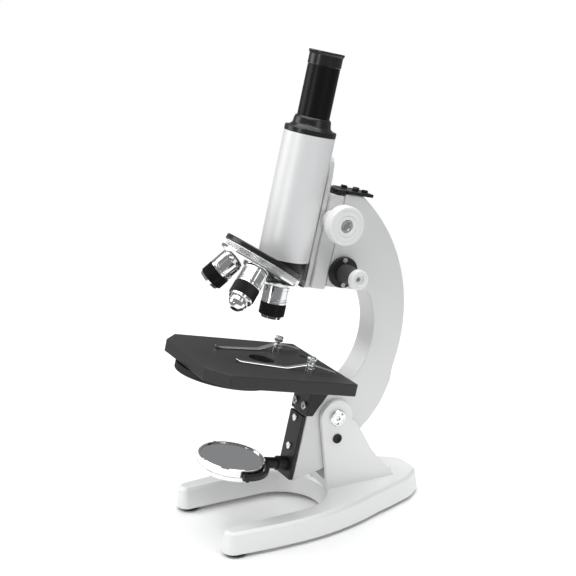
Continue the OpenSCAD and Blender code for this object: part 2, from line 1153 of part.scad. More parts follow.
module tube_slide() {
    color("darkgray")
        on_arm()
            difference() {
                translate([0, slide_back, 0])
                    rotate([90, 0, 0])
                        linear_extrude(slide_back - slide_front)
                            union() {
                                polygon([[-slide_half, slide_bottom], [slide_half, slide_bottom],
                                    [slide_half, slide_top - 16],
                                    [slide_top_r, slide_top - slide_top_r],
                                    [-slide_top_r, slide_top - slide_top_r],
                                    [-slide_half, slide_top - 16]]);
                                translate([0, slide_top - slide_top_r])
                                    circle(slide_top_r);
                            }
                translate([0, tube_y, slide_bottom - 1])
                    cylinder(r = tube_r, h = slide_top);
                translate([0, 0, slide_bottom - 1])
                    linear_extrude(pocket_top - slide_bottom + 1)
                        rail_profile(0.15);
                translate([-channel_half, dove_front - 0.15, slide_bottom - 1])
                    cube([2 * channel_half, 10, pocket_top - slide_bottom + 1]);
            }
}

// Trapezoid teeth facing +Y, in step with the pinion
module rack() {
    pitch = PI * gear_module;
    pitch_y = coarse_y - pitch_r;
    root = pitch_y - gear_module * 1.2;
    tip = pitch_y + gear_module * 0.9;
    first = floor((slide_bottom + 4 - coarse_z) / pitch);
    last = floor((slide_top - 12 - coarse_z) / pitch);
    root_half = pitch * 0.25 + 0.22;
    tip_half = pitch * 0.25 - 0.46;
    color("goldenrod")
        on_arm()
            side_plate(channel_half - 0.4)
                union() {
                    translate([dove_front - 0.15, slide_bottom + 2])
                        square([root - dove_front + 0.15 + eps, slide_top - slide_bottom - 12]);
                    for (i = [first : last])
                        translate([0, coarse_z + (i + 0.5) * pitch])
                            polygon([[root, -root_half], [tip, -tip_half],
                                [tip, tip_half], [root, root_half]]);
                }
}

module tube_collar() {
    color("black")
        on_tube()
            rotate_extrude()
                difference() {
                    union() {
                        translate([eye_tube_r, tube_top])
                            square([tube_r - eye_tube_r, 4.5]);
                        polygon([[eye_tube_r, tube_top + 4], [17, tube_top + 4.4],
                            [17, tube_top + 5], [15.4, tube_top + 6], [14.6, tube_top + 8],
                            [14.4, tube_top + 10.5], [13.2, tube_top + 13],
                            [eye_tube_r, tube_top + 13]]);
                        translate([eye_tube_r, tube_top - 6])
                            square([tube_r - tube_wall - eye_tube_r, 6 + eps]);
                    }
                }
}

module eyepiece_tube() {
    color("dimgray")
        on_tube()
            translate([0, 0, tube_top - 5])
                pipe(eye_tube_r, eye_barrel_r + 0.05, eye_top - 11 - tube_top + 5);
}

module eyepiece_shell() {
    band = eye_top - 10.8;
    color("black")
        on_tube()
            rotate_extrude()
                polygon([[8.2, band + 1], [eye_barrel_r - 1, band - 1],
                    [eye_barrel_r - 1, band - 34], [eye_barrel_r, band - 34],
                    [eye_barrel_r, band], [13, band], [13, eye_top - 2.8],
                    [13.9, eye_top - 1], [13.9, eye_top], [12.8, eye_top],
                    [9.4, eye_top - 3.4], [8.2, eye_top - 3.4]]);
}

module eye_lens() {
    color("lightcyan")
        on_tube()
            translate([0, 0, eye_top - 3.6])
                intersection() {
                    translate([0, 0, -5])
                        cylinder(r = 8.2, h = 10);
                    translate([0, 0, -30 + 1.2])
                        sphere(30, $fn = 120);
                    translate([0, 0, -3])
                        cylinder(r = 9, h = 8);
                }
}

module field_lens() {
    color("lightcyan")
        on_tube()
            translate([0, 0, eye_top - 42])
                intersection() {
                    cylinder(r = eye_barrel_r - 1, h = 6);
                    translate([0, 0, 4 - 26])
                        sphere(26, $fn = 120);
                }
}

// ---------- Nosepiece ----------

module nose_mount() {
    color("black")
        difference() {
            union() {
                on_nose()
                    translate([0, 0, ring_top + 0.3])
                        cylinder(r = turret_r + 0.2, h = disc_t - ring_top);
                intersection() {
                    on_tube()
                        translate([0, 0, ring_z - 20])
                            cylinder(r = tube_r, h = tube_bottom - ring_z + 20);
                    on_nose()
                        translate([-50, -50, disc_t - 1])
                            cube([100, 100, 60]);
                }
                on_tube()
                    translate([0, 0, tube_bottom - eps])
                        cylinder(r = tube_r - tube_wall, h = 6);
            }
            on_tube()
                translate([0, 0, ring_z - 40])
                    cylinder(r = 8.5, h = 80);
            on_nose()
                translate([0, 0, -5])
                    cylinder(r = 3, h = 16);
        }
}

module turret() {
    color("silver")
        difference() {
            on_nose()
                rotate_extrude()
                    polygon([[3.1, ring_top], [turret_r, ring_top], [turret_r, -ring_t + 0.8],
                        [turret_r - 0.8, -ring_t], [turret_r - 1.4, -ring_t],
                        [12.8, -13.6], [3.1, -13.6]]);
            for (turn = [0, 120, -120]) {
                on_objective(turn) {
                    translate([0, 0, -seat - 20])
                        cylinder(r = lens_r + 0.6, h = 20);
                    translate([0, 0, -seat - 1])
                        cylinder(r = 8.5, h = 30);
                }
            }
        }
}

module turret_pivot() {
    color("silver")
        on_nose()
            translate([0, 0, -14])
                mirror([0, 0, 1])
                    slotted_screw(6, 2, 3, 20);
}

// Everything of an objective above its black grip, along -Z from the common point
module objective_barrel() {
    translate([0, 0, -groove_s])
        pipe(lens_r, lens_bore, groove_s - seat);
    translate([0, 0, -seat - eps])
        pipe(8.4, lens_bore, 4);
    translate([0, 0, -knurl_s + 2.8])
        pipe(lens_r + 0.1, lens_bore, 0.8);
    translate([0, 0, -knurl_s])
        pipe(lens_r + 0.1, lens_bore, 1.9);
    translate([0, 0, -grip_end])
        pipe(lens_r - 0.9, lens_bore, grip_end - groove_s + eps);
}

module objective_short() {
    color("silver")
        on_objective(0)
            difference() {
                union() {
                    objective_barrel();
                    translate([0, 0, -short_end])
                        cylinder(r1 = lens_r - 1.2, r2 = lens_r - 0.4, h = short_end - grip_end);
                }
                translate([0, 0, -short_end - 1])
                    cylinder(r = 5, h = 20);
            }
}

module objective_medium() {
    color("silver")
        on_objective(120)
            difference() {
                union() {
                    objective_barrel();
                    translate([0, 0, -short_end])
                        cylinder(r1 = lens_r - 1.2, r2 = lens_r - 0.4, h = short_end - grip_end);
                }
                translate([0, 0, -short_end - 1])
                    cylinder(r = 5, h = 20);
            }
}

module objective_long() {
    color("silver")
        on_objective(-120)
            difference() {
                union() {
                    objective_barrel();
                    translate([0, 0, -grip_end - 2.4])
                        cylinder(r = lens_r - 0.6, h = 2.4 + eps);
                }
                translate([0, 0, -grip_end - 10])
                    cylinder(r = 7.6, h = 22);
            }
}

module sprung_tip() {
    color("silver")
        on_objective(-120)
            difference() {
                union() {
                    translate([0, 0, -grip_end - 5.4])
                        cylinder(r = 7.5, h = 14);
                    translate([0, 0, -long_end + 2.2])
                        cylinder(r1 = 6, r2 = 7, h = long_end - grip_end - 2.2 - 5.4 + eps);
                    translate([0, 0, -long_end])
                        cylinder(r1 = 3.6, r2 = 6, h = 2.2 + eps);
                }
                translate([0, 0, -long_end - 1])
                    cylinder(r = 2, h = 30);
            }
}

module objective_grips() {
    color("black")
        for (turn = [0, 120, -120])
            on_objective(turn)
                translate([0, 0, -grip_end])
                    pipe(lens_r + 0.2, lens_r - 0.9, grip_end - knurl_s);
}

module objective_lenses() {
    color("lightcyan")
        for (turn = [0, 120])
            on_objective(turn)
                translate([0, 0, -short_end + 0.4])
                    intersection() {
                        cylinder(r = 5, h = 3);
                        translate([0, 0, 12])
                            sphere(12.3, $fn = 96);
                    }
}

module click_spring() {
    color("black")
        on_arm()
            side_plate(3)
                polygon([[slide_back + 1, slide_bottom - 0.1], [slide_back + 1, slide_bottom - 0.9],
                    [slide_front - 1, slide_bottom - 0.9], [slide_front - 5, slide_bottom + 1.6],
                    [slide_front - 5.6, slide_bottom + 1],
                    [slide_front - 5.1, slide_bottom + 2.5], [slide_front - 1, slide_bottom - 0.1]]);
}

module click_screw() {
    color("silver")
        on_arm()
            translate([0, slide_back - 1, slide_bottom - 0.9])
                mirror([0, 0, 1])
                    slotted_screw(1.8, 1, 1, 2.6);
}

base_casting();
rubber_feet();
foot_screws();
pillar();
pillar_screws();
hinge_bolt();
hinge_nut();
hinge_washers();
stop_screws();
arm_casting();
top_cap();
cap_block();
cap_screws();
stage_bracket();
bracket_screws();
stage_plate();
stage_screws();
clip_posts();
mirror_bar();
bar_screws();
fine_flanges();
flange_screws();
diaphragm_screw();
fine_shaft();
fine_knob_left();
fine_knob_right();
fine_knob_caps();
fine_screw();
focusing_block();
fine_nut();
pinion_bushings();
pinion_shaft();
coarse_knob_left();
coarse_knob_right();
coarse_knob_screws();
body_tube();
tube_slide();
rack();
tube_collar();
eyepiece_tube();
nose_mount();
turret_pivot();
click_spring();
click_screw();
eyepiece_shell();
eye_lens();
field_lens();
turret();
objective_short();
objective_medium();
objective_long();
objective_grips();
objective_lenses();
sprung_tip();
clip_left();
clip_right();
diaphragm_disc();
mirror_fork();
mirror_cell();
mirror_glasses();
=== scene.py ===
"""Looks of a monocular student microscope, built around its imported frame.

Lengths in the classes are millimetres. A piece is drawn in the local frame of the part it belongs to
and is then placed in the row frame in metres.
"""

from __future__ import annotations

import logging
import math
from dataclasses import dataclass, field
from enum import Enum
from typing import Iterable, Sequence

import bpy
from mathutils import Matrix, Vector
from mathutils.geometry import tessellate_polygon

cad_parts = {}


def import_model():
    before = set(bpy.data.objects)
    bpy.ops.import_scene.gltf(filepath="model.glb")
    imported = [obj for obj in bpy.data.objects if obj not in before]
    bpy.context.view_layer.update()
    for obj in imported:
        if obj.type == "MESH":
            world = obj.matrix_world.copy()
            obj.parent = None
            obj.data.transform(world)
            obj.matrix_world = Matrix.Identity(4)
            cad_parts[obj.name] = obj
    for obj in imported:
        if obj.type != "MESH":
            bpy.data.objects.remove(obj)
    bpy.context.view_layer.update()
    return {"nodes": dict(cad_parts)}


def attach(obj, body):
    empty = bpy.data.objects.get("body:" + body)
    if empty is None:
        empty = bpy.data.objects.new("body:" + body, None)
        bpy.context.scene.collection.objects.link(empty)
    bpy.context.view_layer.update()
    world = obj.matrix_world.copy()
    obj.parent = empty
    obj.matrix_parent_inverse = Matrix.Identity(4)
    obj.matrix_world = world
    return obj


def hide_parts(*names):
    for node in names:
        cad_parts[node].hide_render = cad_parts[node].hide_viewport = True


LOG = logging.getLogger("microscope")
MM = 0.001
# How far the arm is tilted back, and how far the turret leans forward of the tube, in degrees.
TILT = 13.5
LEAN = 21.2
# The inclination hinge, in the row frame.
HINGE = Vector((0.0, 24.45, 82.6))
# In the arm's frame: the tube's axis, where the objectives' axes meet on it, and the middle of the turret.
TUBE_Y = -71.2
APEX_Z = 163.6
NOSE = Vector((0.0, -89.2, 117.2))

Pair = tuple[float, float]
Ring = list[Vector]


# ---------- Places ----------


def turn_x(angle: float) -> Matrix:
    """A turn about X, in degrees."""
    return Matrix.Rotation(math.radians(angle), 4, "X")


def turn_y(angle: float) -> Matrix:
    """A turn about Y, in degrees."""
    return Matrix.Rotation(math.radians(angle), 4, "Y")


def turn_z(angle: float) -> Matrix:
    """A turn about Z, in degrees."""
    return Matrix.Rotation(math.radians(angle), 4, "Z")


def shift(x: float, y: float, z: float) -> Matrix:
    """A move, in millimetres."""
    return Matrix.Translation((x, y, z))


TABLE = shift(0.0, HINGE.y, 0.0)
ARM = Matrix.Translation(HINGE) @ turn_x(-TILT)
TUBE = ARM @ shift(0.0, TUBE_Y, 0.0)
NOSEPIECE = ARM @ Matrix.Translation(NOSE) @ turn_x(-LEAN)
# Shafts across the arm, and the fine focus's upright screw, in the arm's frame.
FINE_SHAFT = shift(0.0, -22.7, 118.6)
PINION = shift(0.0, -43.7, 158.6)
LEAD_SCREW = shift(0.0, -29.5, 0.0)
# These turn a piece drawn along Z to point right or to the front, and an outline in Y and Z onto its side.
ALONG_X = turn_y(90.0)
TO_FRONT = turn_x(90.0)
SIDE_ON = Matrix(((0, 0, 1, 0), (1, 0, 0, 0), (0, 1, 0, 0), (0, 0, 0, 1)))
BOTH_SIDES = {"right": Matrix.Identity(4), "left": Matrix.Scale(-1.0, 4, (1.0, 0.0, 0.0))}


def objective_place(turn: float) -> Matrix:
    """The frame of one objective: origin where the objectives' axes meet, -Z towards its tip.

    Args:
        turn: how far round the turret it sits from the working place, in degrees.

    Returns:
        The frame in millimetres.
    """
    return ARM @ shift(0.0, TUBE_Y, APEX_Z) @ turn_x(-LEAN) @ turn_z(turn) @ turn_x(LEAN)


# ---------- Outlines ----------


def arc(centre: Pair, radius: float, start: float, end: float, steps: int) -> list[Pair]:
    """Points on a circle, both ends included.

    Args:
        centre: the circle's centre.
        radius: its radius.
        start: first angle in degrees.
        end: last angle in degrees.
        steps: number of chords.

    Returns:
        The points in order.
    """
    angles = [math.radians(start + (end - start) * i / steps) for i in range(steps + 1)]
    return [(centre[0] + radius * math.cos(a), centre[1] + radius * math.sin(a)) for a in angles]


def circle(centre: Pair, radius: float, steps: int = 48) -> list[Pair]:
    """A closed circle, anticlockwise."""
    return arc(centre, radius, 0.0, 360.0, steps)[:-1]


def softened(
    points: Sequence[Pair], radii: Sequence[float] | float, steps: int = 5, closed: bool = False
) -> list[Pair]:
    """Rounds the corners of a polyline.

    Args:
        points: the corners.
        radii: one radius for all corners, or one each.
        steps: chords per rounded corner.
        closed: whether the last corner joins the first.

    Returns:
        The rounded polyline.
    """
    count = len(points)
    sizes = [radii] * count if isinstance(radii, (int, float)) else list(radii)
    result: list[Pair] = []
    for i, corner in enumerate(points):
        if (not closed and i in (0, count - 1)) or sizes[i] <= 0.0:
            result.append(corner)
            continue
        p, a, b = Vector(corner), Vector(points[i - 1]), Vector(points[(i + 1) % count])
        to_a, to_b = a - p, b - p
        half = to_a.angle(to_b) / 2.0
        if half > math.radians(88.0):
            result.append(corner)
            continue
        reach = min(sizes[i] / math.tan(half), to_a.length * 0.49, to_b.length * 0.49)
        start, end = p + to_a.normalized() * reach, p + to_b.normalized() * reach
        for k in range(steps + 1):
            t = k / steps
            q = start.lerp(p, t).lerp(p.lerp(end, t), t)
            result.append((q.x, q.y))
    return result


def inset(outline: Sequence[Pair], distance: float) -> list[Pair]:
    """Moves every edge of an anticlockwise outline inwards by a distance.

    Args:
        outline: a closed outline.
        distance: how far inwards; negative grows it.

    Returns:
        The moved outline, with the same number of points.
    """
    count = len(outline)
    result: list[Pair] = []
    for i in range(count):
        a, p, b = Vector(outline[i - 1]), Vector(outline[i]), Vector(outline[(i + 1) % count])
        u, v = (p - a).normalized(), (b - p).normalized()
        left_u, left_v = Vector((-u.y, u.x)), Vector((-v.y, v.x))
        bisector = left_u + left_v
        scale = 2.0 / max(bisector.length_squared, 0.5)
        q = p + bisector * (distance * scale)
        result.append((q.x, q.y))
    return result


# ---------- Meshes ----------


@dataclass
class Blank:
    """A mesh being made, in millimetres.

    Attributes:
        points: its corners.
        faces: its faces, by the numbers of their corners.
    """

    points: list[Vector] = field(default_factory=list)
    faces: list[tuple[int, ...]] = field(default_factory=list)

    def add(self, points: Iterable[Vector], faces: Iterable[tuple[int, ...]]) -> Blank:
        """Adds points and the faces between them.

        Args:
            points: the new points.
            faces: faces that count from the first new point.

        Returns:
            This blank.
        """
        base = len(self.points)
        self.points.extend(points)
        self.faces.extend(tuple(base + i for i in face) for face in faces)
        return self

    def join(self, other: Blank, place: Matrix | None = None) -> Blank:
        """Adds another blank, moved by a matrix.

        Args:
            other: the blank to add.
            place: where it goes; a mirroring matrix also turns its faces.

        Returns:
            This blank.
        """
        move = place or Matrix.Identity(4)
        flip = move.determinant() < 0.0
        faces = [tuple(reversed(f)) if flip else f for f in other.faces]
        return self.add([move @ p for p in other.points], faces)

    def moved(self, place: Matrix) -> Blank:
        """A copy of this blank at another place."""
        return Blank().join(self, place)

    def rings(self, rings: Sequence[Ring], closed: bool = False, caps: bool = True) -> Blank:
        """Skins a row of rings that have the same number of points.

        Args:
            rings: the rings, each anticlockwise seen from the end of the row.
            closed: whether the last ring joins the first.
            caps: whether the two end rings are filled.

        Returns:
            This blank.
        """
        size = len(rings[0])
        points = [p for ring in rings for p in ring]
        faces: list[tuple[int, ...]] = []
        for r in range(len(rings) if closed else len(rings) - 1):
            low, high = r * size, ((r + 1) % len(rings)) * size
            for i in range(size):
                j = (i + 1) % size
                faces.append((low + i, low + j, high + j, high + i))
        if caps and not closed:
            faces.append(tuple(reversed(range(size))))
            faces.append(tuple((len(rings) - 1) * size + i for i in range(size)))
        return self.add(points, faces)

    def lathe(self, profile: Sequence[Pair], steps: int = 96, ribs: Ribs | None = None) -> Blank:
        """Turns a profile of radius and height about Z, from the bottom up on the outside.

        A profile that starts and ends on the axis makes a solid; any other is closed into a ring.

        Args:
            profile: (radius, z) points.
            steps: number of steps round.
            ribs: a knurl cut into part of it.

        Returns:
            This blank.
        """
        if ribs:
            steps = ribs.count * ribs.per_rib
        solid = profile[0][0] <= 1e-6 and profile[-1][0] <= 1e-6
        inner = profile[1:-1] if solid else list(profile)
        rings: list[Ring] = []
        for r, z in inner:
            ring: Ring = []
            for i in range(steps):
                angle = 2.0 * math.pi * i / steps
                radius = r + (ribs.cut(i, r, z) if ribs else 0.0)
                ring.append(Vector((radius * math.cos(angle), radius * math.sin(angle), z)))
            rings.append(ring)
        if not solid:
            return self.rings(rings, closed=True, caps=False)
        base = len(self.points)
        self.rings(rings, caps=False)
        last = base + (len(rings) - 1) * steps
        bottom, top = len(self.points), len(self.points) + 1
        self.points.append(Vector((0.0, 0.0, profile[0][1])))
        self.points.append(Vector((0.0, 0.0, profile[-1][1])))
        for i in range(steps):
            j = (i + 1) % steps
            self.faces.append((bottom, base + j, base + i))
            self.faces.append((top, last + i, last + j))
        return self

    def slab(
        self, outline: Sequence[Pair], levels: Sequence[Pair], holes: Sequence[Sequence[Pair]] = ()
    ) -> Blank:
        """A slab whose outline moves in and out with height.

        Args:
            outline: the outline, anticlockwise.
            levels: (z, inset) from the bottom to the top; holes widen where the outline shrinks.
            holes: holes right through, anticlockwise.

        Returns:
            This blank.
        """
        base = len(self.points)
        loops = [list(outline)] + [list(reversed(hole)) for hole in holes]
        stacks: list[list[Ring]] = []
        for loop in loops:
            stack = [[Vector((x, y, z)) for x, y in inset(loop, amount)] for z, amount in levels]
            stacks.append(stack)
            self.rings(stack, caps=False)
        for end in (0, -1):
            ends = [stack[end] for stack in stacks]
            starts, offset = [], base
            for stack in stacks:
                size = len(stack[0])
                starts.append(offset + (0 if end == 0 else (len(stack) - 1) * size))
                offset += size * len(stack)
            lookup = [start + i for start, ring in zip(starts, ends) for i in range(len(ring))]
            flat = [p for ring in ends for p in ring]
            for tri in tessellate_polygon([[Vector((p.x, p.y, 0.0)) for p in ring] for ring in ends]):
                a, b, c = (flat[i] for i in tri)
                up = (b - a).cross(c - a).z > 0.0
                face = tuple(lookup[i] for i in tri)
                self.faces.append(face if up == (end == -1) else tuple(reversed(face)))
        return self

    def plate(
        self, outline: Sequence[Pair], z0: float, z1: float, edge: float = 0.4,
        holes: Sequence[Sequence[Pair]] = (), steps: int = 4,
    ) -> Blank:
        """A flat plate with rounded edges.

        Args:
            outline: the outline, anticlockwise.
            z0: its underside.
            z1: its top.
            edge: the edges' radius.
            holes: holes right through, anticlockwise.
            steps: chords in each rounded edge.

        Returns:
            This blank.
        """
        levels = [
            (
                z0 + edge * (1 - math.cos(math.radians(90.0 * k / steps))),
                edge * (1 - math.sin(math.radians(90.0 * k / steps))),
            )
            for k in range(steps + 1)
        ]
        top = [(z0 + z1 - z, amount) for z, amount in reversed(levels)]
        return self.slab(outline, levels + top, holes)

    def carve(self, cutters: Sequence[Blank]) -> Blank:
        """Cuts closed blanks out of this one.

        Args:
            cutters: the blanks that are taken away.

        Returns:
            This blank.
        """
        body = self.raw_object("carved")
        tools = [cutter.raw_object("cutter") for cutter in cutters]
        for tool in tools:
            cut = body.modifiers.new("cut", "BOOLEAN")
            cut.operation, cut.solver, cut.object = "DIFFERENCE", "EXACT", tool
        bpy.context.view_layer.update()
        mesh = body.evaluated_get(bpy.context.evaluated_depsgraph_get()).to_mesh()
        self.points = [v.co / MM for v in mesh.vertices]
        self.faces = [tuple(p.vertices) for p in mesh.polygons]
        for item in (body, *tools):
            data = item.data
            bpy.data.objects.remove(item)
            bpy.data.meshes.remove(data)
        return self

    def raw_object(self, name: str, place: Matrix | None = None) -> bpy.types.Object:
        """Makes a linked object of this blank.

        Args:
            name: the object's name.
            place: its frame, in millimetres.

        Returns:
            The object, in metres.
        """
        move = Matrix.Scale(MM, 4) @ (place or Matrix.Identity(4))
        flip = move.determinant() < 0.0
        mesh = bpy.data.meshes.new(name)
        faces = [tuple(reversed(f)) if flip else f for f in self.faces]
        mesh.from_pydata([move @ p for p in self.points], [], faces)
        mesh.update()
        item = bpy.data.objects.new(name, mesh)
        bpy.context.scene.collection.objects.link(item)
        return item


@dataclass(frozen=True)
class Ribs:
    """A knurl cut into the outside of a turned piece.

    Attributes:
        count: how many ribs there are round the piece.
        depth: how deep it is cut.
        low: where it starts along the piece.
        high: where it ends.
        outer: the radius of the surface that it is cut into.
        per_rib: steps round for each rib.
    """

    count: int
    depth: float
    low: float
    high: float
    outer: float
    per_rib: int = 4

    def cut(self, step: int, radius: float, z: float) -> float:
        """How much the radius changes at a step round and a height.

        Args:
            step: the step round.
            radius: the profile's radius there.
            z: the height.

        Returns:
            The change in millimetres, zero or less.
        """
        if radius < self.outer - 0.05 or not self.low <= z <= self.high:
            return 0.0
        phase = (step % self.per_rib) / self.per_rib
        return -self.depth * abs(math.sin(math.pi * phase))


def box_blank(low: tuple[float, float, float], high: tuple[float, float, float], edge: float = 0.0) -> Blank:
    """A box between two corners.

    Args:
        low: the lowest corner.
        high: the highest corner.
        edge: the edges' radius, or 0 for sharp ones.

    Returns:
        The box.
    """
    (x0, y0, z0), (x1, y1, z1) = low, high
    outline = [(x0, y0), (x1, y0), (x1, y1), (x0, y1)]
    if edge <= 0.0:
        return Blank().slab(outline, [(z0, 0.0), (z1, 0.0)])
    return Blank().plate(softened(outline, edge * 1.5, 3, closed=True), z0, z1, edge)


def rod(radius: float, z0: float, z1: float, steps: int = 48) -> Blank:
    """A plain rod along Z."""
    return Blank().lathe([(0.0, z0), (radius, z0), (radius, z1), (0.0, z1)], steps)


def ribbon(path: Sequence[tuple[float, float, float]], thickness: float) -> Blank:
    """A strip of springy sheet along a path in Y and Z.

    Args:
        path: (y, z, half width) from the root to the tip.
        thickness: the sheet's thickness, upwards from the path.

    Returns:
        The strip.
    """
    soft = thickness * 0.3
    rings: list[Ring] = []
    for y, z, half in path:
        top = z + thickness
        outline = [
            (-half + soft, z), (half - soft, z), (half, z + soft), (half, top - soft), (half - soft, top),
            (-half + soft, top), (-half, top - soft), (-half, z + soft),
        ]
        rings.append([Vector((x, y, height)) for x, height in outline])
    return Blank().rings(rings)


def bent_bar(radius: float, start: float, end: float, half_w: float, half_h: float, steps: int = 48) -> Blank:
    """A bar of rounded section bent round Z.

    Args:
        radius: the radius of its middle line.
        start: first angle in degrees.
        end: last angle in degrees.
        half_w: half its width along the radius.
        half_h: half its height.
        steps: number of chords.

    Returns:
        The bar.
    """
    section = softened(
        [(-half_w, -half_h), (half_w, -half_h), (half_w, half_h), (-half_w, half_h)], 0.8, 3, closed=True
    )
    rings: list[Ring] = []
    for i in range(steps + 1):
        angle = math.radians(start + (end - start) * i / steps)
        c, s = math.cos(angle), math.sin(angle)
        rings.append([Vector(((radius + dr) * c, (radius + dr) * s, h)) for dr, h in reversed(section)])
    return Blank().rings(rings)


def rail_pair(section: Sequence[Pair], low: float, high: float) -> list[Blank]:
    """The left and right strips of a dovetail along Z.

    Args:
        section: the right strip's section, clockwise.
        low: where the strips start.
        high: where they end.

    Returns:
        The left strip and the right strip.
    """
    left = [(-x, y) for x, y in section]
    levels = [(low, 0.0), (high, 0.0)]
    return [Blank().slab(left, levels), Blank().slab(list(reversed(section)), levels)]


def slotted_head(radius: float, height: float, shank_r: float, shank: float) -> Blank:
    """A slotted cheese-head screw with a ring turned into its head.

    Args:
        radius: the head's radius.
        height: the head's height above its seat.
        shank_r: the shank's radius.
        shank: the shank's length below the seat.

    Returns:
        The screw, with its seat at zero and its head upwards.
    """
    profile = [(0.0, -shank), (shank_r, -shank), (shank_r, 0.0), (radius, 0.0), (radius, height - 0.25),
               (radius - 0.25, height), (radius * 0.82, height), (radius * 0.78, height - 0.2),
               (radius * 0.7, height - 0.2), (radius * 0.66, height), (0.0, height)]
    half = radius * 0.13
    cut = box_blank((-radius - 1.0, -half, height * 0.5), (radius + 1.0, half, height + 1.0))
    return Blank().lathe(profile, 48).carve([cut])


def socket_head(radius: float, height: float, shank_r: float, shank: float) -> Blank:
    """A hexagon-socket screw.

    Args:
        radius: the head's radius.
        height: the head's height above its seat.
        shank_r: the shank's radius.
        shank: the shank's length below the seat.

    Returns:
        The screw, with its seat at zero and its head upwards.
    """
    profile = [(0.0, -shank), (shank_r, -shank), (shank_r, 0.0), (radius, 0.0), (radius, height - 0.3),
               (radius - 0.3, height), (0.0, height)]
    cut = Blank().slab(circle((0.0, 0.0), radius * 0.52, 6), [(height * 0.35, 0.0), (height + 1.0, 0.0)])
    return Blank().lathe(profile, 48).carve([cut])


# ---------- Finishes ----------

Tree = bpy.types.NodeTree
Socket = bpy.types.NodeSocket
NUMBER = "NodeSocketFloat"
DIRECTION = "NodeSocketVector"


class Effects:
    """Shader node groups that the finishes share, each built once."""

    @staticmethod
    def _start(
        name: str, inputs: Sequence[tuple[str, str, float]], outputs: Sequence[tuple[str, str]]
    ) -> tuple[Tree, bpy.types.Node, bpy.types.Node]:
        """Makes an empty group.

        Args:
            name: the group's name.
            inputs: (name, socket type, default) of each number it takes, after its Vector.
            outputs: (name, socket type) of what it gives.

        Returns:
            The group with its input and output nodes.
        """
        tree = bpy.data.node_groups.new(name, "ShaderNodeTree")
        tree.interface.new_socket("Vector", in_out="INPUT", socket_type=DIRECTION)
        for label, kind, value in inputs:
            tree.interface.new_socket(label, in_out="INPUT", socket_type=kind).default_value = value
        for label, kind in outputs:
            tree.interface.new_socket(label, in_out="OUTPUT", socket_type=kind)
        return tree, tree.nodes.new("NodeGroupInput"), tree.nodes.new("NodeGroupOutput")

    @classmethod
    def grain(cls) -> Tree:
        """Fine bumps of a cast or sprayed surface.

        Returns:
            The group.
        """
        tree = bpy.data.node_groups.get("grain")
        if tree:
            return tree
        tree, source, result = cls._start(
            "grain", [("Scale", NUMBER, 400.0), ("Height", NUMBER, 0.1)], [("Normal", DIRECTION)]
        )
        noise, bump = tree.nodes.new("ShaderNodeTexNoise"), tree.nodes.new("ShaderNodeBump")
        noise.inputs["Detail"].default_value = 3.0
        bump.inputs["Distance"].default_value = 0.0004
        tree.links.new(source.outputs["Vector"], noise.inputs["Vector"])
        tree.links.new(source.outputs["Scale"], noise.inputs["Scale"])
        tree.links.new(noise.outputs["Fac"], bump.inputs["Height"])
        tree.links.new(source.outputs["Height"], bump.inputs["Strength"])
        tree.links.new(bump.outputs["Normal"], result.inputs["Normal"])
        return tree

    @classmethod
    def mottle(cls) -> Tree:
        """A slow and a fine cloud mixed into one mask.

        Returns:
            The group.
        """
        tree = bpy.data.node_groups.get("mottle")
        if tree:
            return tree
        tree, source, result = cls._start(
            "mottle", [("Slow", NUMBER, 30.0), ("Fine", NUMBER, 500.0)], [("Mask", NUMBER)]
        )
        slow, fine = tree.nodes.new("ShaderNodeTexNoise"), tree.nodes.new("ShaderNodeTexNoise")
        mix = tree.nodes.new("ShaderNodeMath")
        mix.operation = "MULTIPLY"
        spread = tree.nodes.new("ShaderNodeMapRange")
        spread.inputs["From Min"].default_value, spread.inputs["From Max"].default_value = 0.12, 0.4
        for noise, label in ((slow, "Slow"), (fine, "Fine")):
            noise.inputs["Detail"].default_value = 4.0
            tree.links.new(source.outputs["Vector"], noise.inputs["Vector"])
            tree.links.new(source.outputs[label], noise.inputs["Scale"])
        tree.links.new(slow.outputs["Fac"], mix.inputs[0])
        tree.links.new(fine.outputs["Fac"], mix.inputs[1])
        tree.links.new(mix.outputs[0], spread.inputs["Value"])
        tree.links.new(spread.outputs["Result"], result.inputs["Mask"])
        return tree

    @classmethod
    def wear(cls) -> Tree:
        """A mask of the outer edges, broken up by noise.

        Returns:
            The group.
        """
        tree = bpy.data.node_groups.get("wear")
        if tree:
            return tree
        tree, source, result = cls._start("wear", [("Scale", NUMBER, 200.0)], [("Mask", NUMBER)])
        shape, noise = tree.nodes.new("ShaderNodeNewGeometry"), tree.nodes.new("ShaderNodeTexNoise")
        bevel, dot = tree.nodes.new("ShaderNodeBevel"), tree.nodes.new("ShaderNodeVectorMath")
        bevel.samples, dot.operation = 4, "DOT_PRODUCT"
        bevel.inputs["Radius"].default_value = 0.0007
        edge, both = tree.nodes.new("ShaderNodeMapRange"), tree.nodes.new("ShaderNodeMath")
        edge.inputs["From Min"].default_value, edge.inputs["From Max"].default_value = 0.99, 0.8
        both.operation = "MULTIPLY"
        tree.links.new(source.outputs["Vector"], noise.inputs["Vector"])
        tree.links.new(source.outputs["Scale"], noise.inputs["Scale"])
        tree.links.new(bevel.outputs["Normal"], dot.inputs[0])
        tree.links.new(shape.outputs["Normal"], dot.inputs[1])
        tree.links.new(dot.outputs["Value"], edge.inputs["Value"])
        tree.links.new(edge.outputs["Result"], both.inputs[0])
        tree.links.new(noise.outputs["Fac"], both.inputs[1])
        tree.links.new(both.outputs[0], result.inputs["Mask"])
        return tree


